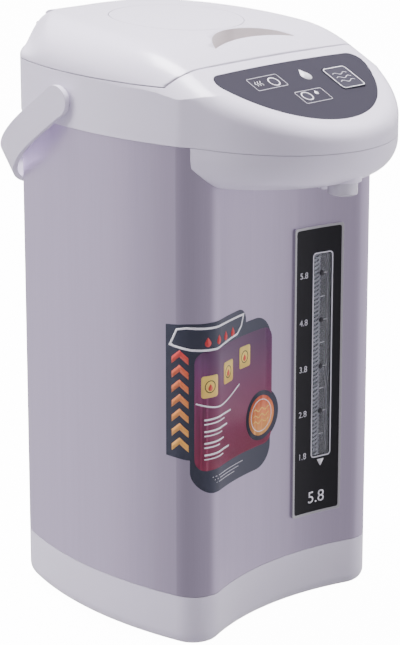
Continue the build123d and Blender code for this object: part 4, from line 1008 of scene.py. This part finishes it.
def studio_world():
    """Pale backdrop for the camera, with softer and darker sides for reflections."""
    world = bpy.data.worlds.new("studio")
    world.use_nodes = True
    tree = world.node_tree
    tree.nodes.clear()
    where = add(tree, "ShaderNodeTexCoord").outputs["Generated"]
    split = feed(tree, add(tree, "ShaderNodeSeparateXYZ"), Vector=where)
    angle = maths(tree, "ARCTAN2", split.outputs["Y"], split.outputs["X"])
    share = maths(tree, "ADD", maths(tree, "DIVIDE", angle, 2 * math.pi), 0.5)
    ramp = add(tree, "ShaderNodeValToRGB")
    link(tree, share, ramp.inputs[0])
    elements = ramp.color_ramp.elements
    elements[0].position, elements[1].position = SURROUNDINGS[0][0], SURROUNDINGS[-1][0]
    for place, _ in SURROUNDINGS[1:-1]:
        elements.new(place)
    for element, (_, level) in zip(elements, SURROUNDINGS):
        element.color = (*[level * part for part in LIGHT_TINT], 1)
    matt = add(tree, "ShaderNodeLightPath").outputs["Is Diffuse Ray"]
    strength = maths(tree, "SUBTRACT", 1.0, maths(tree, "MULTIPLY", matt, MATT_LOSS))
    around = feed(tree, add(tree, "ShaderNodeBackground"), Color=ramp.outputs[0],
                  Strength=strength)
    plain = feed(tree, add(tree, "ShaderNodeBackground"), Color=(1, 1, 1, 1), Strength=FLOOR_GLOW)
    mix = add(tree, "ShaderNodeMixShader")
    link(tree, add(tree, "ShaderNodeLightPath").outputs["Is Camera Ray"], mix.inputs[0])
    link(tree, around.outputs[0], mix.inputs[1])
    link(tree, plain.outputs[0], mix.inputs[2])
    link(tree, mix.outputs[0], add(tree, "ShaderNodeOutputWorld").inputs[0])
    bpy.context.scene.world = world


def aim_camera():
    """Camera in front of the pot's left front corner, a little above it."""
    forward = Vector((math.sin(CAMERA_TURN) * math.cos(CAMERA_DIP),
                      math.cos(CAMERA_TURN) * math.cos(CAMERA_DIP), -math.sin(CAMERA_DIP)))
    right = Vector((math.cos(CAMERA_TURN), -math.sin(CAMERA_TURN), 0))
    up = right.cross(forward)
    data = bpy.data.cameras.new("studio_camera")
    data.sensor_fit = "VERTICAL"
    data.sensor_height = SENSOR_HEIGHT
    data.lens = CAMERA_LENS
    camera = new_object("studio_camera", data)
    camera.location = metres(*CAMERA_AT)
    camera.rotation_euler = Matrix((right, up, -forward)).transposed().to_euler()
    bpy.context.scene.camera = camera


studio_floor()
studio_world()
studio_light("top_light", place=(-0.1, 0.35, 2.2), target=(0, 0, 0.3), size=(0.8, 0.8), power=128)
studio_light("right_light", place=(1.9, 0.0, 1.0), target=(0, 0, 0.25), size=(1.0, 1.6), power=8)
studio_light("front_light", place=(1.5, -1.6, 0.5), target=(0, 0, 0.15), size=(1.0, 1.0), power=32,
             mirrored=False)
studio_light("left_light", place=(-1.7, 1.2, 1.4), target=(0, 0, 0.4), size=(1.0, 1.4), power=36,
             mirrored=False)
aim_camera()
